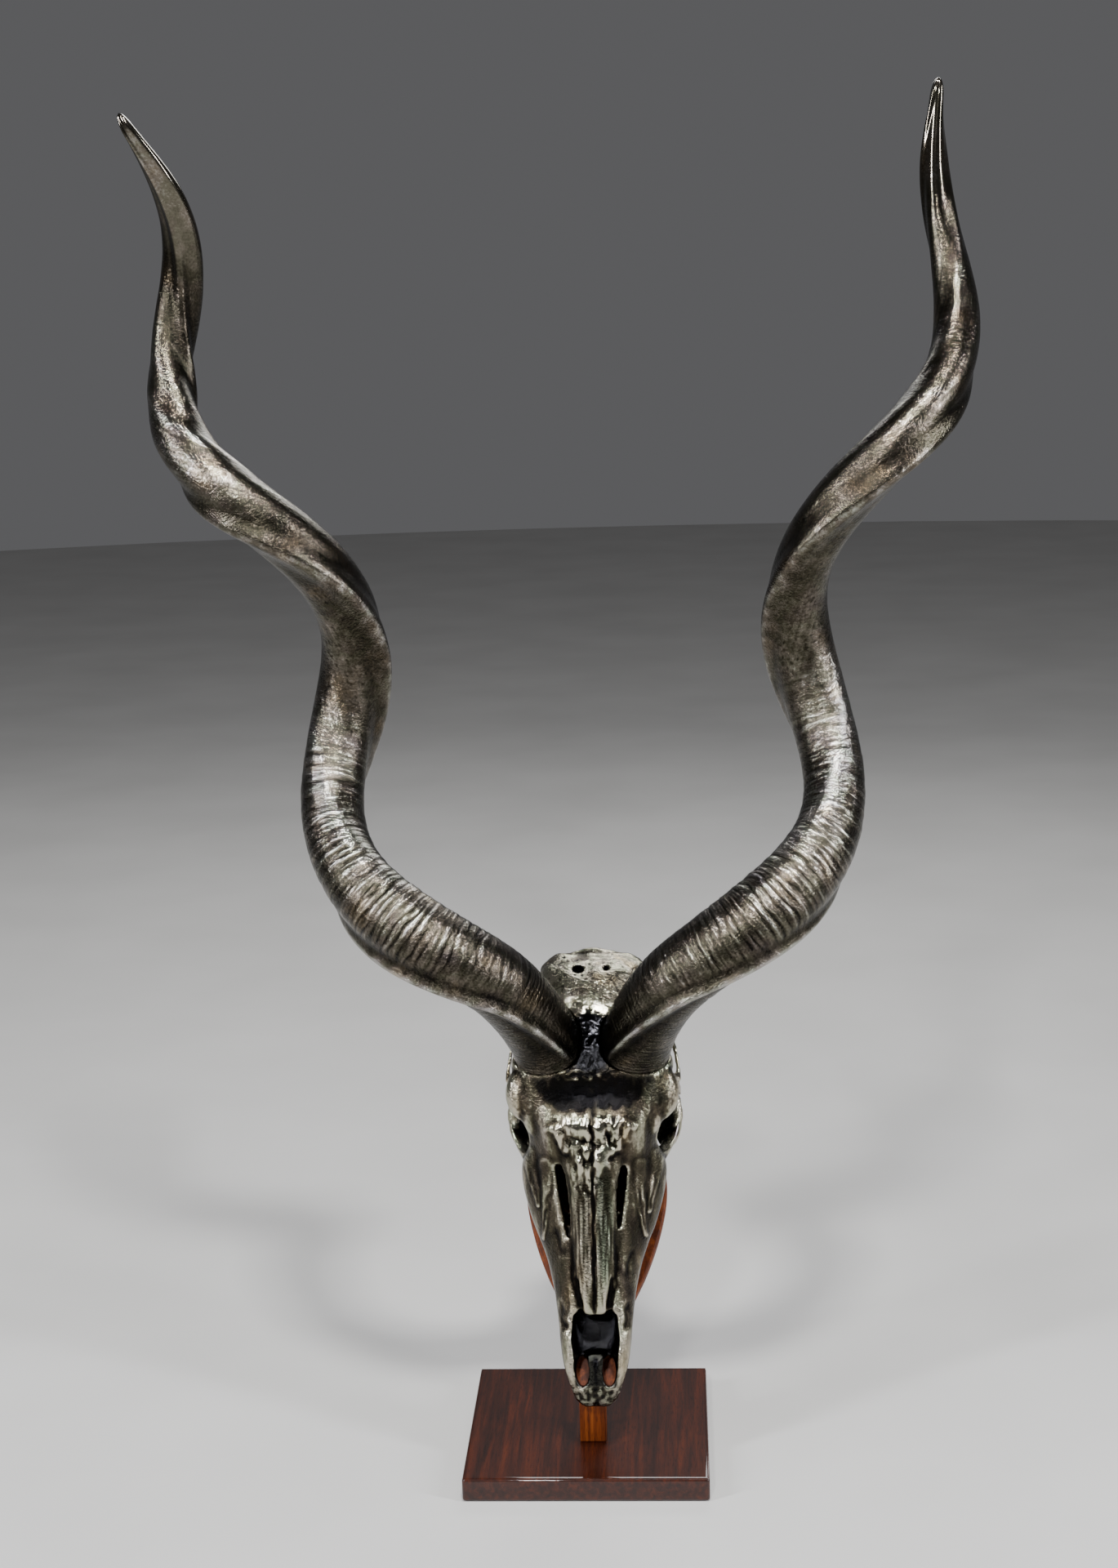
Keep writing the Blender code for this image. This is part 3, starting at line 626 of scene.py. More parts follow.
def even_stations(horn, rows, stop=None, crowding=0.0):
    """Values of t along the horn, closer together near the root if crowded, with the distance at each."""
    fine = np.linspace(ROOT_T, 1.0, 3000)
    line = horn_line(horn, fine)[0]
    travelled = np.concatenate([[0.0], np.cumsum(np.linalg.norm(np.diff(line, axis=0), axis=1))])
    share = np.linspace(0.0, 1.0, rows)
    distance = ((1 - crowding) * share + crowding * share**2) * (stop or travelled[-1])
    return np.interp(distance, travelled, fine), distance


# %% The section of a horn
def horn_shape(horn, t, distance, sides):
    """Ring centres, directions round each ring, and how far each point lies out, all in metres."""
    centre, tangent, keel = horn_line(horn, t)
    across = np.cross(tangent, keel)
    even = np.arange(sides) * 2 * math.pi / sides
    angle = even - KEEL_CROWDING * np.sin(even)
    rounding = np.sqrt(np.clip(1 - np.clip((t - 1 + TIP_ROUNDING) / TIP_ROUNDING, 0, 1) ** 2, 0, 1))
    rounding = rounding * (1 - TIP_TAPER * rise(t, TIP_FROM, 1.0)) * MM
    keel_half = (size_along(horn["keel_half"], t) * rounding)[:, None]
    cross_half = (size_along(horn["cross_half"], t) * rounding)[:, None]
    keel_height = size_along(horn["keel_height"], t) * rounding * np.clip(distance / KEEL_RUN_IN, 0, 1)
    u = np.clip(t, 0, 1)
    back_height = (BACK_RIDGE[0] * (1 - u) + BACK_RIDGE[1] * u) * rounding
    folded = np.minimum(angle, 2 * math.pi - angle)[None, :]
    oval = keel_half * cross_half / np.hypot(cross_half * np.cos(angle), keel_half * np.sin(angle) + 1e-12)
    blade = rise(t, *BLADE_FROM_TO)
    keel_width = KEEL_HALF_ANGLES[0] * (1 - blade) + KEEL_HALF_ANGLES[1] * blade
    reach = oval + keel_height[:, None] * bump(folded, keel_width[:, None])
    reach += back_height[:, None] * bump(math.pi - folded, BACK_RIDGE_HALF_ANGLE)
    out = np.cos(angle)[None, :, None] * keel[:, None] + np.sin(angle)[None, :, None] * across[:, None]
    return centre, out, reach, angle, rounding / MM


# %% Growth rings, wrinkles, fibres and pits
# The rings' spacing at the root and at their end, how far up they go in metres, and heights in millimetres
RING_SPACING_MM = (4.6, 8.5)
RINGED_LENGTH = 0.36
RIDGE, GROOVE, WRINKLE, SWELLING, FIBRE, LUMP, PIT = 0.13, 0.36, 0.17, 0.34, 0.07, 0.16, 0.16


def horn_relief(horn, distance, reach, angle, under):
    """The height of each point above the plain section, in metres, and how many rings lie below it."""
    length = np.broadcast_to(distance[:, None], reach.shape)
    angle = np.broadcast_to(angle, reach.shape)
    folded = np.minimum(angle, 2 * math.pi - angle)
    skin = np.stack([np.cos(angle) * reach, np.sin(angle) * reach, length], axis=-1)

    def patches(places, size, number):
        """Noise at points of the horn, with lumps of this size."""
        return grain(places.reshape(-1, 3), size, horn["seed"] + number).reshape(reach.shape)

    # The rings sway a little, fade up the horn and stop at the keel.
    share = np.clip(length / RINGED_LENGTH, 0, 1)
    spacing = (RING_SPACING_MM[0] * (1 - share) + RING_SPACING_MM[1] * share) * MM
    phase = np.cumsum(np.gradient(length, axis=0) / spacing, axis=0) + 0.6 * bump(folded, 0.5)
    phase += 0.9 * patches(skin, (0.050, 0.050, 0.040), 0)
    phase += 0.30 * patches(skin, (0.022, 0.022, 0.012), 1)
    tooth = phase - np.floor(phase)
    groove = bump(np.minimum(tooth, 1 - tooth), 0.13)
    ringed = (1 - rise(length, 0.20, RINGED_LENGTH)) * (0.5 + 0.5 * rise(length, 0.04, 0.12))
    ringed = ringed * (0.06 + 0.94 * rise(folded, 0.20, 0.36)) * (1 - 0.75 * under)
    strength = 0.20 + 0.95 * np.clip(patches(skin, (0.045, 0.045, 0.013), 6) + 0.45, 0, 1.3)
    height = ringed * strength * (RIDGE * np.sin(math.pi * tooth) - GROOVE * groove)
    # Wrinkles lie between the rings, and broad swellings under them.
    wrinkled = (0.20 + 0.80 * rise(folded, 0.2, 0.4)) * (1 - 0.85 * rise(length, 0.32, 0.50))
    height += WRINKLE * wrinkled * patches(skin, (0.016, 0.016, 0.0019), 2)
    swollen = rise(length, 0.06, 0.14) * (1 - rise(length, 0.34, 0.52)) * rise(folded, 0.3, 0.6)
    height += SWELLING * swollen * patches(skin, (0.060, 0.060, 0.0065), 7)
    # Fibres run along the horn, with soft lumps and pits where it is smooth.
    fibres = np.stack([np.cos(angle) * 8, np.sin(angle) * 8, length * 10], axis=-1)
    height += FIBRE * (0.4 + 0.6 * rise(length, 0.35, 0.6)) * patches(fibres, 1.0, 3)
    lumps = patches(skin, (0.011, 0.011, 0.020), 4)
    height += LUMP * lumps * rise(length, 0.1, 0.4)
    pits = rise(patches(skin, (0.0034, 0.0034, 0.0048), 5) + 0.4 * lumps, 0.45, 1.0)
    height -= PIT * pits * rise(length, 0.12, 0.4) * (1 - 0.8 * rise(length, 0.55, 0.8))
    return height * MM, phase


def make_horn(name):
    """One horn with its relief, and a note of its patina and of shade painted below the root."""
    horn = HORNS[name]
    t, distance = even_stations(horn, HORN_ROWS, crowding=ROOT_CROWDING)
    centre, out, reach, angle, rounding = horn_shape(horn, t, distance, HORN_SIDES)
    # Downward faces near the root: the rings are weaker there, and the patina note darkens them as painted
    # shade.
    under = rise(-out[..., 2], 0.15, 0.65) * (1 - rise(distance, 0.12, 0.22))[:, None]
    height, growth = horn_relief(horn, distance, reach, angle, under)
    slim = np.clip(reach.mean(1) / 0.020, 0.2, 1) ** 1.5 * (1 - rise(t, 0.84, 0.97))
    height = height * (slim * np.clip(rounding, 0, 1) ** 0.5)[:, None]
    surface = np.maximum(reach + height - HORN_INSET * np.clip(rounding, 0, 1)[:, None], 0.0)
    surface[-1] = 0.0
    rings = (centre[:, None] + out * surface[..., None]) * np.array((horn["side"], 1, 1))
    piece = rolled_grid(name + "_sheath", rings)
    hollows = hollow_depth(piece, 12)

    def spread(values):
        """Values by row or by side, as one value for each of the piece's points."""
        return np.resize(np.broadcast_to(values, reach.shape), len(hollows))

    row, length, folded = t[:, None], distance[:, None], np.minimum(angle, 2 * math.pi - angle)
    upper, near_tip = spread(rise(row, 0.26, 0.5)), spread(rise(row, 0.80, 0.92))
    ringed, near_root = spread(1 - rise(length, 0.20, RINGED_LENGTH)), spread(1 - rise(length, 0.06, 0.20))
    on_keel, by_keel = spread(bump(folded, 0.3)), spread(bump(folded, 0.65))
    # The keel is stained in blotches, and the hollows beside it and at the tip keep less patina.
    blotches = 0.16 * grain(vectors_of(piece, "co"), 0.009, horn["seed"] + 8)
    stain = on_keel * (1 - near_tip) * (0.02 + 0.10 * near_root + blotches)
    hollows = (hollows - np.median(hollows)) * (1 - near_tip)
    hollows = hollows * np.where(hollows > 0, 1 - 0.85 * by_keel, 1 - 0.4 * by_keel)
    # Patina stays in the hollows, and painted shade darkens the downward face near the root.
    # The ringed part and the upper horn are a little darker, and the part near the tip lighter.
    patina_and_painted_light = 0.5 + np.clip(hollows / (0.6 * MM), -0.5, 0.33) + 0.12 * spread(under) + 0.05 * upper
    note(piece, "patina_and_painted_light", patina_and_painted_light + 0.07 * ringed - 0.12 * near_tip + stain)
    note(piece, "buffed", 0.42 + 0.15 * upper - 0.30 * spread(under) + 0.75 * near_tip)
    note(piece, "growth", spread(growth))
    only(piece)
    bpy.ops.object.shade_smooth()
    print(name, len(piece.data.polygons), "faces,", round(distance[-1], 3), "m along the curl")
    return piece


horn_pieces = {name: make_horn(name) for name in HORNS}


# %% [markdown]
# ## Skull
# A skull is many bones that grew together round hollows, so it is modelled as a sculptor blocks out clay:
# balls, bars and lofted bodies are pressed together, one even skin is drawn over them, and the hollows are
# cut out of that. Its own frame has Z up the face from the tip of the nose, Y into the head and X across,
# in millimetres, and it leans back into its place on the stand at the end.

# %% Sections of the head
# Each has its height and its half outline from the front middle round to the back middle.
HEAD_SECTIONS = (
    (-2, ((0, 7), (5, 7), (9, 7.5), (11, 9), (9, 11), (5, 12), (0, 12))),
    (1, ((0, 4), (7, 4), (12, 5.5), (15.5, 9), (12, 12), (6, 14), (0, 14))),
    (5, ((0, 3), (9, 3), (15, 5), (19, 9), (15, 13), (7, 15), (0, 15))),
    (15, ((0, 1), (10, 1), (18, 3), (23, 9), (20, 16), (10, 19), (0, 19))),
    (35, ((0, 0), (14, 0), (24, 2), (29, 10), (26, 20), (14, 25), (0, 25))),
    (55, ((0, 0), (16, 0), (27, 3), (32, 13), (29, 26), (16, 31), (0, 30))),
    (78, ((0, 0), (12, 1), (27, 6), (34, 17), (32, 32), (22, 38), (0, 34))),
    (100, ((0, 0), (13, 2), (27, 8), (37, 22), (35, 43), (26, 48), (0, 40))),
    (122, ((0, 0), (17, 3), (30, 10), (42, 28), (40, 54), (28, 60), (0, 48))),
    (141, ((0, 0), (19, 4), (33, 12), (49, 34), (43, 64), (29, 70), (0, 56))),
    (160, ((0, 0), (20, 5), (38, 14), (57, 38), (45, 73), (29, 79), (0, 64))),
    (190, ((0, -1), (22, 5), (44, 15), (65, 40), (46, 86), (29, 92), (0, 76))),
    (212, ((0, -3), (26, 4), (48, 17), (66, 42), (46, 94), (29, 100), (0, 84))),
    (228, ((0, -5), (34, 2), (48, 12), (58, 36), (42, 90), (27, 98), (0, 88))),
    (250, ((0, -6), (38, -3), (50, 6), (56, 22), (36, 82), (22, 96), (0, 95))),
    (275, ((0, -4), (38, -2), (60, 8), (68, 22), (38, 80), (22, 100), (0, 102))),
    (300, ((0, -2), (40, 0), (64, 14), (62, 38), (40, 84), (24, 108), (0, 112))),
    (322, ((0, 6), (38, 10), (60, 26), (55, 52), (44, 90), (28, 118), (0, 122))),
    (342, ((0, 14), (30, 18), (48, 34), (52, 62), (46, 100), (26, 132), (0, 136))),
    (365, ((0, 30), (28, 35), (44, 52), (49, 80), (44, 115), (24, 143), (0, 148))),
    (386, ((0, 55), (28, 58), (44, 72), (50, 92), (42, 118), (22, 134), (0, 138))),
    (393, ((0, 72), (23, 74), (38, 82), (44, 95), (36, 110), (20, 122), (0, 126))),
    (399, ((0, 88), (16, 89), (28, 92), (33, 98), (26, 106), (14, 111), (0, 113))),
)
NASAL_SECTIONS = (
    (84, ((0, -1), (5, -1), (8, 0), (10, 3), (8, 6), (5, 7), (0, 7))),
    (105, ((0, -3), (7, -3), (12, -1), (14, 3), (12, 9), (7, 10), (0, 10))),
    (130, ((0, -4), (9, -4), (15, -1), (18, 4), (15, 12), (9, 13), (0, 13))),
    (165, ((0, -4), (10, -4), (17, -1), (20, 5), (17, 13), (10, 14), (0, 14))),
    (200, ((0, -6), (11, -5), (19, -2), (22, 5), (18, 13), (11, 14), (0, 14))),
    (222, ((0, -7), (13, -6), (24, -1), (28, 5), (24, 13), (13, 14), (0, 14))),
    (246, ((0, -4), (13, -3), (22, 1), (26, 6), (22, 13), (13, 14), (0, 14))),
)
NASAL_CAVITY_SECTIONS = (
    (46, ((0, 6), (8, 6), (14, 7), (17, 11), (14, 16), (8, 18), (0, 18))),
    (60, ((0, 2), (10, 2), (17, 5), (21, 12), (18, 23), (10, 26), (0, 26))),
    (84, ((0, 8), (10, 8), (17, 10), (22, 17), (19, 28), (10, 32), (0, 32))),
    (120, ((0, 12), (10, 12), (18, 14), (23, 22), (19, 34), (10, 37), (0, 37))),
    (160, ((0, 12), (12, 12), (21, 15), (26, 26), (21, 42), (10, 48), (0, 48))),
    (210, ((0, 12), (14, 12), (26, 16), (32, 30), (24, 48), (12, 56), (0, 56))),
    (228, ((0, 16), (12, 16), (22, 20), (26, 32), (20, 46), (10, 52), (0, 52))),
)
NOSE_OPENING_SECTIONS = (
    (47, ((0, -9), (10, -9), (17, -8), (19, 0), (16, 12), (8, 14), (0, 14))),
    (62, ((0, -9), (11, -9), (19, -8), (21, 2), (18, 14), (10, 16), (0, 16))),
    (81, ((0, -9), (11, -9), (18, -8), (20, 4), (17, 14), (10, 16), (0, 16))),
)
# The ring of one eye socket: the brow's edge in front, the thin outer bar behind
EYE_RING = (
    ((57, 20, 247), 4.0), ((55, 27, 234), 3.6), ((58, 37, 224), 3.0), ((63, 49, 219), 2.6),
    ((70, 60, 224), 2.2), ((75.5, 67, 236), 2.1), ((78, 68, 252), 2.0), ((79, 64, 267), 2.0),
    ((78, 56, 280), 2.4), ((74, 46, 288), 4.0), ((68, 28, 285), 5.0), ((61, 18, 264), 4.8),
)
# Balls of one side, by centre and radii: the brow, its edge and the stump of the horn, the cheekbone, the ear
# region and the knob that carries the head
SIDE_BALLS = (
    ((58, 24, 277), (21, 15, 27)),
    ((50, 18, 262), (14, 12, 24)),
    ((47, 33, 302), (27, 25, 20)),
    ((67, 83, 250), (15, 5, 32)),
    ((47, 106, 316), (13, 11, 12)),
    ((25, 132, 316), (11, 13, 15)),
    ((16, 151, 364), (12, 13, 14)),
)
# Bars of one side, by points, radii and facets: the bar behind the socket, the horn's core, the cheekbone
# arch, the spur behind the ear, the ridge of the palate and the rail beside the nose opening
SIDE_BARS = (
    (((79, 48, 284), (77, 54, 302), (72, 62, 320), (52, 78, 336)), (2.6, 2.5, 3, 6), 16),
    (((29, 51, 280), (34, 38, 299), (41, 20, 324)), (29, 31, 31), 32),
    (((56, 47, 210), (72, 74, 234), (74, 92, 262), (64, 104, 298), (42, 108, 326)), (7, 4.6, 4.2, 5, 9), 16),
    (((36, 122, 350), (39, 142, 340), (38, 160, 328)), (9, 6, 3.2), 16),
    (((17, 86, 218), (16, 104, 240), (14, 116, 262)), (5, 3.5, 4), 16),
    (((4.4, 6, 10), (4.4, 8, 38), (5.0, 14, 66)), (2.6, 1.9, 2.4), 10),
)
CREST = ((-44, 106, 390), (-26, 100, 395.5), (0, 97, 400), (26, 100, 395.5), (44, 106, 390))
CHEEK_TEETH = ((130, 12), (143, 13), (157, 14), (173, 16), (190, 17), (207, 15))
TOOTH_ROW_X, TOOTH_WIDTH, TOOTH_ROOT, TOOTH_SPARE, TOOTH_EDGE = 36, 15, 14, 4, 0.0022
# A tooth has two lobes: how far each stands from its middle, and its half length, as shares of its length
LOBE_PLACE, LOBE_HALF = 0.23, 0.235
print(len(HEAD_SECTIONS), "sections from nose to crown")


# %% Bones and teeth
def seat_depth(height):
    """Depth of the sloping plane that carries the skull, at a height above the nose tip, in millimetres."""
    return SEAT_DEPTH / MM + SEAT_SLOPE * (height - SEAT_FROM_NOSE / MM)


def side_bones(hand):
    """The bones of one side and the ring of its eye socket. Hand is 1 on the viewer's right."""
    ring = EYE_RING + EYE_RING[:1]
    bones = [ball(centre, radii, hand=hand) for centre, radii in SIDE_BALLS]
    bones += [rod(points, radii, facets, hand=hand) for points, radii, facets in SIDE_BARS]
    bones.append(rod([point for point, _ in ring], [radius for _, radius in ring], 10, steps=5, hand=hand))
    return bones


def cheek_teeth():
    """Waisted cheek teeth and their copies on the other side. They reach past the plane that trims them."""
    teeth = []
    reach = TOOTH_ROOT + TOOTH_SPARE
    for height, length in CHEEK_TEETH:
        for lobe in (-LOBE_PLACE, LOBE_PLACE):
            depth = seat_depth(height) + TOOTH_SPARE - reach / 2
            centre = Vector((TOOTH_ROW_X, depth, height + lobe * length)) * MM
            half = Vector((TOOTH_WIDTH / 2, reach / 2, length * LOBE_HALF)) * MM
            tooth = block("tooth", centre - half, centre + half)
            pick(tooth, lambda middle, along: abs(along.y) > ALONG)
            bevel_picked(tooth, TOOTH_EDGE, 3)
            twin = tooth.copy()
            twin.data = tooth.data.copy()
            twin.data.transform(Matrix.Translation((-2 * TOOTH_ROW_X * MM, 0, 0)))
            bpy.context.collection.objects.link(twin)
            teeth += [tooth, twin]
    return teeth


# %% Bone, pressed together and skinned
SKULL_VOXEL = 0.0016
# The head, the nasal bones, the forehead, the floor of the braincase, the crest of the poll and its knob
bones = [
    loft(HEAD_SECTIONS),
    loft(NASAL_SECTIONS),
    ball((0, 8, 250), (37, 16, 19)),
    rod(((0, 104, 236), (0, 122, 280), (0, 142, 335), (0, 146, 356)), (9, 11, 14, 14)),
    rod(CREST, (3.4, 4, 4.6, 4, 3.4)),
    ball((0, 121, 391), (9, 9, 12)),
]
bones += side_bones(-1) + side_bones(1) + cheek_teeth()
skull = joined("skull_bone", bones)
one_skin(skull, SKULL_VOXEL)
print("bone skin", len(skull.data.polygons), "faces")

# %% Hollows, cut out of the bone
# The nasal cavity, the nose opening, the groove between the nasal bones, the hole for the spine, the notch
# and the slot at the tip, and the throat
hollows = [
    loft(NASAL_CAVITY_SECTIONS),
    loft(NOSE_OPENING_SECTIONS),
    rod(((0, -8, 78), (0, -7, 130), (0, -8, 190), (0, -11, 240)), (3.4, 4.6, 4.4, 3.0), 10),
    ball((0, 160, 386), (11, 20, 12), turn=-35),
    ball((0, -1, -1), (2.6, 10, 8)),
    rod(((0, -3, 15), (0, -2, 34), (0, 0, 54)), (2.0, 3.2, 4.5), 10),
    ball((0, 108, 236), (11, 16, 22)),
]
for hand in (-1, 1):
    # The slits lie a little to the left of the middle, and the poll's right pit is the smaller one.
    slit = ((28.5 - 1.7 * hand, 9, 215), (25.5 - 1.5 * hand, 9, 190), (20.5 - hand, 8.5, 148))
    behind_slit = ((29 - 1.7 * hand, 20, 213), (26 - 1.5 * hand, 20, 186), (22 - hand, 20, 160))
    poll_pit = (4.4 - 0.5 * hand, 11, 3.8 - 0.6 * hand)
    hollows += [
        ball((66, 46, 252), (34, 25, 27), hand=hand),
        ball((72, 74, 292), (19, 16, 22), hand=hand),
        ball((11.8, 8, 30), (5.8, 30, 14), turn=-13, hand=hand),
        rod(((12, -1, 19), (13.6, -1, 31), (13.6, 0, 46), (12.5, 3, 60)), (5, 7, 7.4, 9), hand=hand),
        ball((25, 68, 190), (13, 43, 29), hand=hand),
        rod(((13.5, 1, 80), (15, 3, 98), (16.5, 4, 118)), (4.5, 3.4, 2.0), 10, hand=hand),
        rod(slit, (4.6, 4.8, 3.0), 10, hand=hand),
        rod(behind_slit, (6, 7, 5), 10, hand=hand),
        ball((13, 63, 386), poll_pit, hand=hand),
        rod(((9, 42, 92), (12, 62, 130), (12, 88, 190), (10, 104, 226)), (7, 12, 15, 14), hand=hand),
    ]
hollow = joined("skull_hollows", hollows)
one_skin(hollow, SKULL_VOXEL)
take_out(skull, hollow)
one_skin(skull, SKULL_VOXEL)
print("hollowed", len(skull.data.polygons), "faces")

# %% The flat that lies on the panel, and the seats of the horns
SKULL_GAP, SEAT_LENGTH, SEAT_RUN_OUT = 0.0007, 0.14, 0.3
slab = block("slab", Vector((-0.15, 0.0, -0.03)), Vector((0.15, 0.12, 0.22)))
slab.data.transform(Matrix.Translation((0, SEAT_DEPTH - SKULL_GAP, SEAT_FROM_NOSE)) @ seat_turn)
take_out(skull, slab)
skull.data.transform(skull_place)
for name, horn in HORNS.items():
    t, distance = even_stations(horn, 40, stop=SEAT_LENGTH)
    centre, out, reach, _, _ = horn_shape(horn, t, distance, 40)
    rings = centre[:, None] + out * (reach + SKULL_GAP)[..., None]
    rings[0] += (centre[0] - centre[1]) * SEAT_RUN_OUT
    take_out(skull, rolled_grid(name + "_seat", rings * np.array((horn["side"], 1, 1))))
skull.data.transform(skull_place.inverted())
one_skin(skull, SKULL_VOXEL)
print("seated", len(skull.data.polygons), "faces")

# %% [markdown]
# ## The skull's relief
# Bone has sutures where two bones met, a long grain, pores and rough crests. Each is a height over the
# skull's own frame: sutures are narrow furrows along lines drawn on the face, pores and grain are noise at
# a real size, and the rough forehead is folded noise.

# %% Lines on the face
# Lines are (across, up the face) in millimetres: furrows with their depth and half width, and the bone plates
# of the cheeks with their height and half width. The scale makes all furrows as bold as in the photograph.
FURROWS = (
    (((-59, 214), (-55, 196), (-51, 182), (-49, 174)), 0.55, 1.4),
    (((-38, 202), (-40, 182), (-44, 162), (-46, 144)), 0.55, 1.3),
    (((-38, 162), (-32, 144), (-27, 130)), 0.8, 2.4),
    (((-17, 156), (-20.5, 128), (-19.5, 106), (-17, 92)), 0.7, 1.4),
    (((57, 214), (55, 194), (51, 178), (49, 168)), 0.55, 1.4),
    (((39, 202), (41, 184), (45, 164), (47, 146)), 0.55, 1.3),
    (((34, 140), (31, 124), (29, 108)), 0.7, 2.2),
    (((19, 152), (21, 128), (19.5, 106), (17, 92)), 0.6, 1.4),
    (((-31, 94), (-30, 78), (-26, 64)), 1.0, 2.4),
    (((30, 94), (29, 78), (26, 64)), 1.0, 2.4),
)
FURROW_SCALE = 1.4
PLATES = (
    (((-58, 224), (-57, 206), (-53, 190), (-50, 176)), 1.0, 7),
    (((-43, 216), (-42, 196), (-43, 176), (-46, 146)), 1.0, 7),
    (((59, 222), (57, 204), (53, 188), (50, 170)), 1.0, 7),
    (((43, 214), (42, 196), (43, 176), (46, 148)), 1.0, 7),
)


def distance_to_line(across, height, line):
    """From each point to a line drawn on the face: how far it is, and at what share of the line."""
    path = smooth_line(line, 6)
    nearest, share_there = np.full(len(across), 1e9), np.zeros(len(across))
    for number, ((x0, s0), (x1, s1)) in enumerate(zip(path, path[1:])):
        length = (x1 - x0) ** 2 + (s1 - s0) ** 2
        share = np.clip(((across - x0) * (x1 - x0) + (height - s0) * (s1 - s0)) / length, 0, 1)
        away = np.hypot(across - x0 - share * (x1 - x0), height - s0 - share * (s1 - s0))
        share_there = np.where(away < nearest, (number + share) / (len(path) - 1), share_there)
        nearest = np.minimum(nearest, away)
    return nearest, share_there


def zone(x, s, centre, half_sizes):
    """A soft patch on the face: 1 inside, 0 outside."""
    reach = np.hypot((x - centre[0]) / half_sizes[0], (s - centre[1]) / half_sizes[1])
    return 1 - rise(reach, 0.75, 1.15)


def band(x, s, centre, half_sizes):
    """A patch across the face with blunt ends that fades up and down it."""
    return np.exp(-(((x - centre[0]) / half_sizes[0]) ** 4) - ((s - centre[1]) / half_sizes[1]) ** 2)


def skull_relief(places, outward):
    """The height of each point of the skull above its plain skin, in millimetres."""
    x, _, s = places.T / MM
    front = rise(-outward[:, 1], 0.05, 0.45)
    wander = 1.3 * grain(places, 0.008, 3)
    fold = grain(places, (0.0052, 0.0080, 0.0120), 4)
    rough = grain(places, (0.0022, 0.0022, 0.0050), 9)
    # Grain of the bone, sutures, and the plates of the cheeks
    height = 0.04 * grain(places, (0.0026, 0.0026, 0.018), 1) + 0.16 * grain(places, (0.008, 0.008, 0.020), 2)
    for line, depth, width in FURROWS:
        away, share = distance_to_line(x + wander, s, line)
        faded = rise(share, 0.0, 0.3) * (1 - rise(share, 0.7, 1.0))
        height -= FURROW_SCALE * front * faded * depth * bump(away, FURROW_SCALE * width)
    for line, thick, half in PLATES:
        away, share = distance_to_line(x + 0.4 * wander, s, line)
        height += front * thick * (1 - rise(away / (half * (1.02 - 0.7 * share)), 0.35, 1.15))
    # Nasal bones: two long bars with a groove between them and streaks along them, crumpled at their root
    nasal = zone(x, s, (0, 140), (19, 66)) * front
    bars = 0.4 * bump(np.abs(x) - 7, 4.5) - 1.0 * bump(x + 0.6 * wander, 1.7)
    streaks = 0.34 * grain(places, (0.0021, 0.0050, 0.0300), 15) + 0.10 * bump(x, 5.0) * rough
    nasal_root = zone(x, s, (-5, 206), (15, 18)) * front
    height += nasal * (bars + streaks) + nasal_root * (0.8 * fold + 0.22 * rough)
    height += zone(x, s, (0, 38), (8, 30)) * front * 0.25 * rough
    # Forehead: a hollow right across it, crumbs of bone above that, and two crumpled lobes below
    valley = band(x, s, (0, 277), (34, 13)) * front
    height -= valley * (7.0 + 1.5 * grain(places, 0.009, 10) - 2.0 * bump(x - 2, 6))
    crumbs = bump(x + 4, 24) * bump(s - 296, 7) * front
    height += crumbs * (1.2 + 1.4 * grain(places, (0.0045, 0.0045, 0.0040), 12))
    half_width = np.interp(s, (206, 222, 236, 248, 262), (13, 18, 30, 36, 30)) + 3.0 * wander
    lobes = (1 - rise(np.abs(x) - half_width, -6.0, 6.0)) * front
    lobes = lobes * rise(s, 204, 222) * (1 - rise(s, 252, 266))
    height += lobes * (2.4 - 2.4 * bump(x - 1 + wander, 3.4) + 1.3 * fold + 0.34 * rough)
    # Rough bone on the brows, at the tip and between the horns
    brow = zone(np.abs(x), s, (60, 276), (19, 32)) * front
    height += brow * 0.13 * grain(places, 0.003, 5)
    tip = (1 - rise(s, 14, 24)) * front
    height += tip * (0.55 * grain(places, 0.0042, 6) + 0.2 * rough)
    knot = zone(x, s, (0, 328), (30, 30)) * front
    height += knot * (0.7 * grain(places, 0.008, 11) + 0.25 * grain(places, 0.003, 13))
    # Poll: broad swellings, creases and pores
    poll = rise(s, 345, 372)
    crease = bump(grain(places, (0.016, 0.016, 0.012), 14), 0.07)
    pores = rise(grain(places, (0.0030, 0.0030, 0.0036), 8), 0.62, 1.0)
    height += poll * (1.2 * grain(places, 0.018, 7) - 0.35 * crease)
    return height - pores * (0.7 * poll + 0.25 * lobes)


SEAT_BAND = 1.5
soften = skull.modifiers.new("soften", "SMOOTH")
soften.factor, soften.iterations = 0.5, 4
apply_all(skull)
places, outward = vectors_of(skull, "co"), vectors_of(skull, "normal")
on_seat = np.abs(places[:, 1] / MM - seat_depth(places[:, 2] / MM)) < SEAT_BAND
height = np.where(on_seat, 0.0, skull_relief(places, outward))
set_points(skull, places + outward * (height * MM)[:, None])
print("relief from", round(height.min(), 1), "to", round(height.max(), 1), "mm")

# %% Fewer faces where the bone is flat
FACES_MOST = 190000
triangles = sum(len(face.vertices) - 2 for face in skull.data.polygons)
thin_out = skull.modifiers.new("thin_out", "DECIMATE")
thin_out.ratio = min(1.0, FACES_MOST / triangles)
apply_all(skull)
print("skull", len(skull.data.polygons), "faces")

# %% Notes of the patina and painted light and shade, of the blackening and painted shade, of the buff and the tarnish
fine, broad = hollow_depth(skull, 8), hollow_depth(skull, 60)
places = vectors_of(skull, "co")
x, d, s = places.T / MM
ragged = 6.0 * grain(places, 0.010, 21) + 3.0 * grain(places, 0.004, 22)
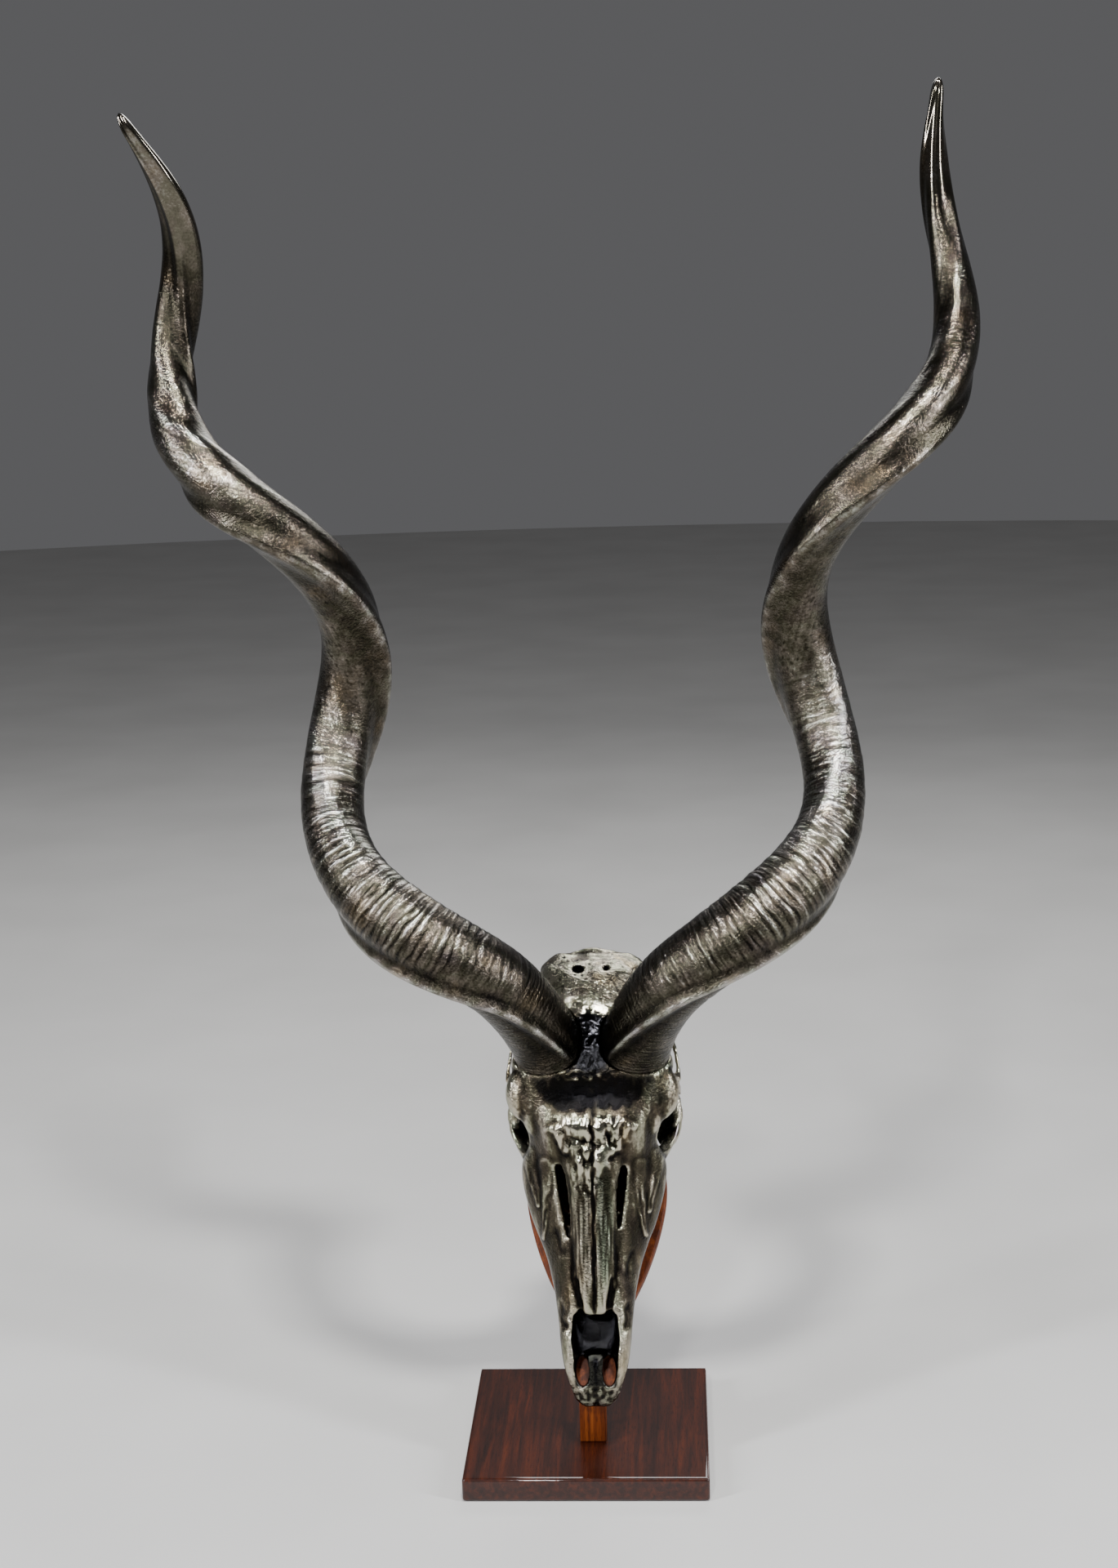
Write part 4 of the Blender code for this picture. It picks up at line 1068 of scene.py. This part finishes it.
# Patina stays in the fine hollows and in the broad ones, whose darkness is partly painted shade.
# Painted shade also darkens a ragged shelf in the forehead hollow under the horn roots.
# Rubbed: the lobes, the root of the nasal bones and the knot. Painted light: the poll is lighter, as lit from
# above.
# The face below the nasal root is a little darker.
arched = s + ragged - 266 - 1.4 * np.clip(np.abs(x) + 0.6 * ragged - 36, 0, None)
shelf = rise(arched, -8, 8) * (1 - rise(s, 316, 326)) * (1 - rise(d, 26, 40))
rubbed = band(x, s, (0, 244), (34, 17)) + band(x, s, (-5, 207), (15, 14)) + zone(x, s, (0, 328), (30, 30))
rubbed = np.clip(rubbed, 0, 1) * (1 - rise(d, 20, 40))
poll = rise(s, 338, 352) * (1 - rise(d, 110, 125))
patina_and_painted_light = 0.54 + fine / (0.9 * MM) + broad / (7 * MM) + 0.6 * shelf + 0.09 * (1 - rise(s, 212, 232))
note(skull, "patina_and_painted_light", patina_and_painted_light - 0.30 * rubbed - 0.26 * poll)
# Black, partly patina that no buff reaches and partly painted shade: deep between the horns, in the forehead
# hollow, in the nose opening and in the eye sockets. The tip is black as well.
between_horns = zone(x, s, (-1, 324), (28, 31)) * (1 - rise(d, 40, 60))
forehead_pit = 0.75 * band(x + ragged, s + ragged, (0, 277), (35, 13)) * (1 - rise(d, 20, 30))
inner_nose = (1 - rise(np.abs(x), 17.5, 21.5)) * rise(s, 13, 19) * (1 - rise(s, 78, 86))
inner_nose = 0.95 * np.clip(inner_nose + rise(d, 6, 10) * (s < 130) * (np.abs(x) < 22), 0, 1)
orbit = 0.9 * zone(np.abs(x), s, (60, 254), (14, 36)) * rise(d, 40, 52)
tip = 0.62 * (1 - rise(s, 10, 22))
note(skull, "blackening_and_painted_shade", np.maximum.reduce([between_horns, forehead_pit, inner_nose, orbit, tip]))
buffed = 0.2 + 0.8 * rubbed + 0.25 * zone(x, s, (0, 140), (20, 70)) - 0.5 * shelf
note(skull, "buffed", np.clip(buffed, 0, 1))
# Greenish tarnish: on the right of the nasal bones and on the right brow
tarnish = 0.45 * zone(x, s, (10, 168), (8, 60)) + 0.4 * zone(x + ragged, s, (58, 288), (14, 22))
note(skull, "tarnish", tarnish * (1 - rise(d, 30, 45)))
skull.data.transform(skull_place)
only(skull)
bpy.ops.object.shade_smooth()
print("skull", [round(v / MM, 1) for v in skull.dimensions], "mm")

# %% [markdown]
# ## Antiqued silver
# The bone and horn were given a conducting coat and electroplated with silver, then dipped in liver of
# sulphur, which blackens silver, and buffed. The buff clears the ridges to a warm white and leaves the
# black in every hollow, so colour and gloss both follow the noted hollows. The notes also hold painted
# shade in deep recesses and under the horns' roots, and painted light on the poll. Silver keeps the default
# index of refraction. Blotches of thin sulphide film add faint yellow, green and violet.


# %% Silver finish
# Where the shades lie between bare silver, 0, and full patina, 1, and the colours of the film
SHADE_PLACES = (0.10, 0.42, 0.66, 0.92)
FILM = ((0.30, "F0DFB0"), (0.43, "FFFFFF"), (0.55, "DCEFD9"), (0.63, "FFFFFF"), (0.76, "D2CCF6"))
# The near-black of the patina that no buff reaches, and of the painted shade in deep recesses
TARNISH, BLACK_AND_PAINTED_SHADE = "9CC9C4", "151517"
BUFFED_ROUGHNESS, PATINA_ROUGHNESS = 0.14, 0.38
# Real pits are a few tenths of a millimetre, too fine to show, so they are drawn about 2 mm wide.
BONE_PIT_MM, HORN_PIT_MM = 2.1, 2.0


def antiqued_silver(name, shades, streak_size, pit_mm, speckle, dent_depth, on_horn):
    """Silver plate in four shades from rubbed to blackened, with pits of a given size."""
    material, shader = new_finish(name, {"Metallic": 1.0})
    place = add(material, "TexCoord").outputs["Object"]
    drawn = add(material, "Mapping", {"Scale": (1.0, 1.0, 1.0 if on_horn else 0.3)}, {"Vector": place})
    kept = ("patina_and_painted_light", "buffed", "growth") if on_horn else ("patina_and_painted_light", "buffed", "blackening_and_painted_shade", "tarnish")
    noted = {key: add(material, "Attribute", {"attribute_name": key}).outputs["Fac"] for key in kept}
    # Blotches and dents are weaker where the buff has been.
    uneven = add(material, "MapRange", {"To Min": 1.0, "To Max": 0.52}, {"Value": noted["buffed"]})
    fading = {"From Min": 0.2, "From Max": 1.25, "To Min": 1.0, "To Max": 0.0}
    rough = add(material, "MapRange", fading, {"Value": noted["buffed"]})
    streaky = {"Scale": 1 / streak_size, "Detail": 6.0, "Roughness": 0.62}
    blotch = add(material, "TexNoise", streaky, {"Vector": drawn})
    pits = add(
        material, "TexNoise", {"Scale": 1000 / pit_mm, "Detail": 3.0, "Roughness": 0.6}, {"Vector": place}
    )
    cloudy = add(material, "MapRange", {"To Min": -0.45, "To Max": 0.45}, {"Value": blotch})
    around_zero = {"operation": "MULTIPLY_ADD", 1: speckle, 2: -0.5 * speckle}
    pitted = add(material, "Math", around_zero, {0: pits})
    both = add(material, "Math", {"operation": "ADD"}, {0: cloudy, 1: pitted})
    summed = {"operation": "MULTIPLY_ADD", "use_clamp": True}
    dark = add(material, "Math", summed, {0: both, 1: uneven, 2: noted["patina_and_painted_light"]})
    colour = add(material, "ValToRGB", {}, {"Fac": dark}, tuple(zip(SHADE_PLACES, shades)))
    film = add(material, "TexNoise", {"Scale": 0.5 / streak_size, "Detail": 3.0}, {"Vector": drawn})
    tint = add(material, "ValToRGB", {}, {"Fac": film}, FILM)
    tinted = add(material, "Mix", MULTIPLIED | {0: 0.5}, {6: colour, 7: tint}).outputs[2]
    dull = {"To Min": BUFFED_ROUGHNESS, "To Max": PATINA_ROUGHNESS}
    dulled = add(material, "MapRange", dull, {"Value": dark})
    gloss = add(material, "Math", {"operation": "MULTIPLY"}, {0: dulled, 1: uneven})
    dents = add(material, "Bump", {"Distance": dent_depth}, {"Height": pits, "Strength": rough})
    link(material, shader, {"Base Color": tinted, "Roughness": gloss, "Normal": dents})
    if on_horn:
        # Fine lines that follow the growth rings
        turned = add(material, "Mapping", {"Scale": (14.0, 14.0, 14.0)}, {"Vector": place})
        laid = add(material, "SeparateXYZ", {}, {0: turned}).outputs
        lines = add(material, "CombineXYZ", {}, {0: noted["growth"], 1: laid[0], 2: laid[2]})
        wavy = {"Scale": 2.4, "Detail": 3.0, "Roughness": 0.6, "Distortion": 0.7}
        fine = add(material, "TexNoise", wavy, {"Vector": lines})
        ridged = add(material, "Bump", {"Distance": 0.0005}, {"Height": fine, "Strength": rough})
        link(material, dents, {"Normal": ridged})
        return material
    # Greenish tarnish, and the black of patina and painted shade, which stays glossy, as lacquer does
    tarnished = add(
        material, "Mix", MULTIPLIED | {7: linear(TARNISH)}, {0: noted["tarnish"], 6: tinted}
    ).outputs[2]
    blackened = add(
        material, "Mix", {"data_type": "RGBA", 7: linear(BLACK_AND_PAINTED_SHADE)}, {0: noted["blackening_and_painted_shade"], 6: tarnished}
    ).outputs[2]
    lacquered = add(material, "Mix", {3: BUFFED_ROUGHNESS}, {0: noted["blackening_and_painted_shade"], 2: gloss})
    link(material, shader, {"Base Color": blackened, "Roughness": lacquered})
    return material


BONE_SHADES, HORN_SHADES = ("BAB3A1", "4F483C", "2F2A23", "110F0E"), ("A9A5A0", "605950", "3A352D", "161411")
bone_silver = antiqued_silver(
    "antiqued_silver_on_bone", BONE_SHADES, 0.012, BONE_PIT_MM, 0.35, 0.0007, on_horn=False
)
horn_silver = antiqued_silver(
    "antiqued_silver_on_horn", HORN_SHADES, 0.018, HORN_PIT_MM, 0.8, 0.0009, on_horn=True
)
wear(skull, bone_silver)
for piece in horn_pieces.values():
    wear(piece, horn_silver)
print("silver finishes:", bone_silver.name, horn_silver.name)


# %% [markdown]
# ## Varnished wood
# The base is a red-brown hardwood such as mahogany under many coats of gloss varnish: long grain from
# front to back, darker lines a few millimetres apart, short pores, and a hard clear shine over them all.
# The post and panel are the same wood stained a lighter amber, under a thinner satin coat.


# %% Wood finish
# Widths and lengths of the grain's lines and of the pores, in metres. Real pores are too fine to show, so
# these are about three times as wide.
LINE_WIDTH, LINE_LENGTH, PORE_WIDTH, PORE_LENGTH = 0.006, 0.11, 0.0011, 0.010


def varnished_wood(name, shades, grain_axis, constants):
    """Stained hardwood under varnish, its grain along one axis of the object's room."""
    material, shader = new_finish(name, {"Coat IOR": 1.5, "Specular IOR Level": 0.1} | constants)
    where = add(material, "TexCoord").outputs["Object"]
    stretch, pore_stretch = [1 / LINE_WIDTH] * 3, [1 / PORE_WIDTH] * 3
    stretch[grain_axis] = 1 / LINE_LENGTH
    pore_stretch[grain_axis] = 1 / PORE_LENGTH
    drawn = add(material, "Mapping", {"Scale": stretch}, {"Vector": where})
    wavy = {"Scale": 1.0, "Detail": 5.0, "Roughness": 0.6, "Distortion": 0.6}
    lines = add(material, "TexNoise", wavy, {"Vector": drawn})
    pore_drawn = add(material, "Mapping", {"Scale": pore_stretch}, {"Vector": where})
    pores = add(material, "TexNoise", {"Scale": 1.0, "Detail": 2.0}, {"Vector": pore_drawn})
    colour = add(material, "ValToRGB", {}, {"Fac": lines}, tuple(zip((0.28, 0.5, 0.72), shades)))
    pored = add(material, "ValToRGB", {}, {"Fac": pores}, ((0.34, "B3AAA6"), (0.46, "FFFFFF")))
    mixed = add(material, "Mix", MULTIPLIED | {0: 0.8}, {6: colour, 7: pored}).outputs[2]
    dips = add(material, "Bump", {"Strength": 0.15, "Distance": 0.0003}, {"Height": pores})
    link(material, shader, {"Base Color": mixed, "Normal": dips})
    return material


gloss_varnish = {"Roughness": 0.5, "Coat Weight": 0.8, "Coat Roughness": 0.06}
satin_varnish = {"Roughness": 0.60, "Coat Weight": 0.15, "Coat Roughness": 0.40}
mahogany = varnished_wood("gloss_varnished_mahogany", ("140502", "2A0E05", "421906"), 1, gloss_varnish)
amber = varnished_wood("satin_amber_hardwood", ("381605", "5E2A0C", "824215"), 2, satin_varnish)
wear(base, mahogany)
wear(post, amber)
wear(panel, amber)
print("wood finishes:", mahogany.name, amber.name)

# %% [markdown]
# ## Pieces in place of the solids
# Each piece is listed with the solid that it stands for and a finish slot. That solid is hidden, and the
# piece moves with the root body.

# %% Pieces, bodies and slots
dressed = {
    "base": (base, "base_hardwood"),
    "post": (post, "amber_wood"),
    "panel": (panel, "amber_wood"),
    "skull": (skull, "antique_silver"),
    "horn_left": (horn_pieces["horn_left"], "antique_silver"),
    "horn_right": (horn_pieces["horn_right"], "antique_silver"),
}
for node, (piece, slot) in dressed.items():
    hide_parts(node)
    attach(piece, "root")
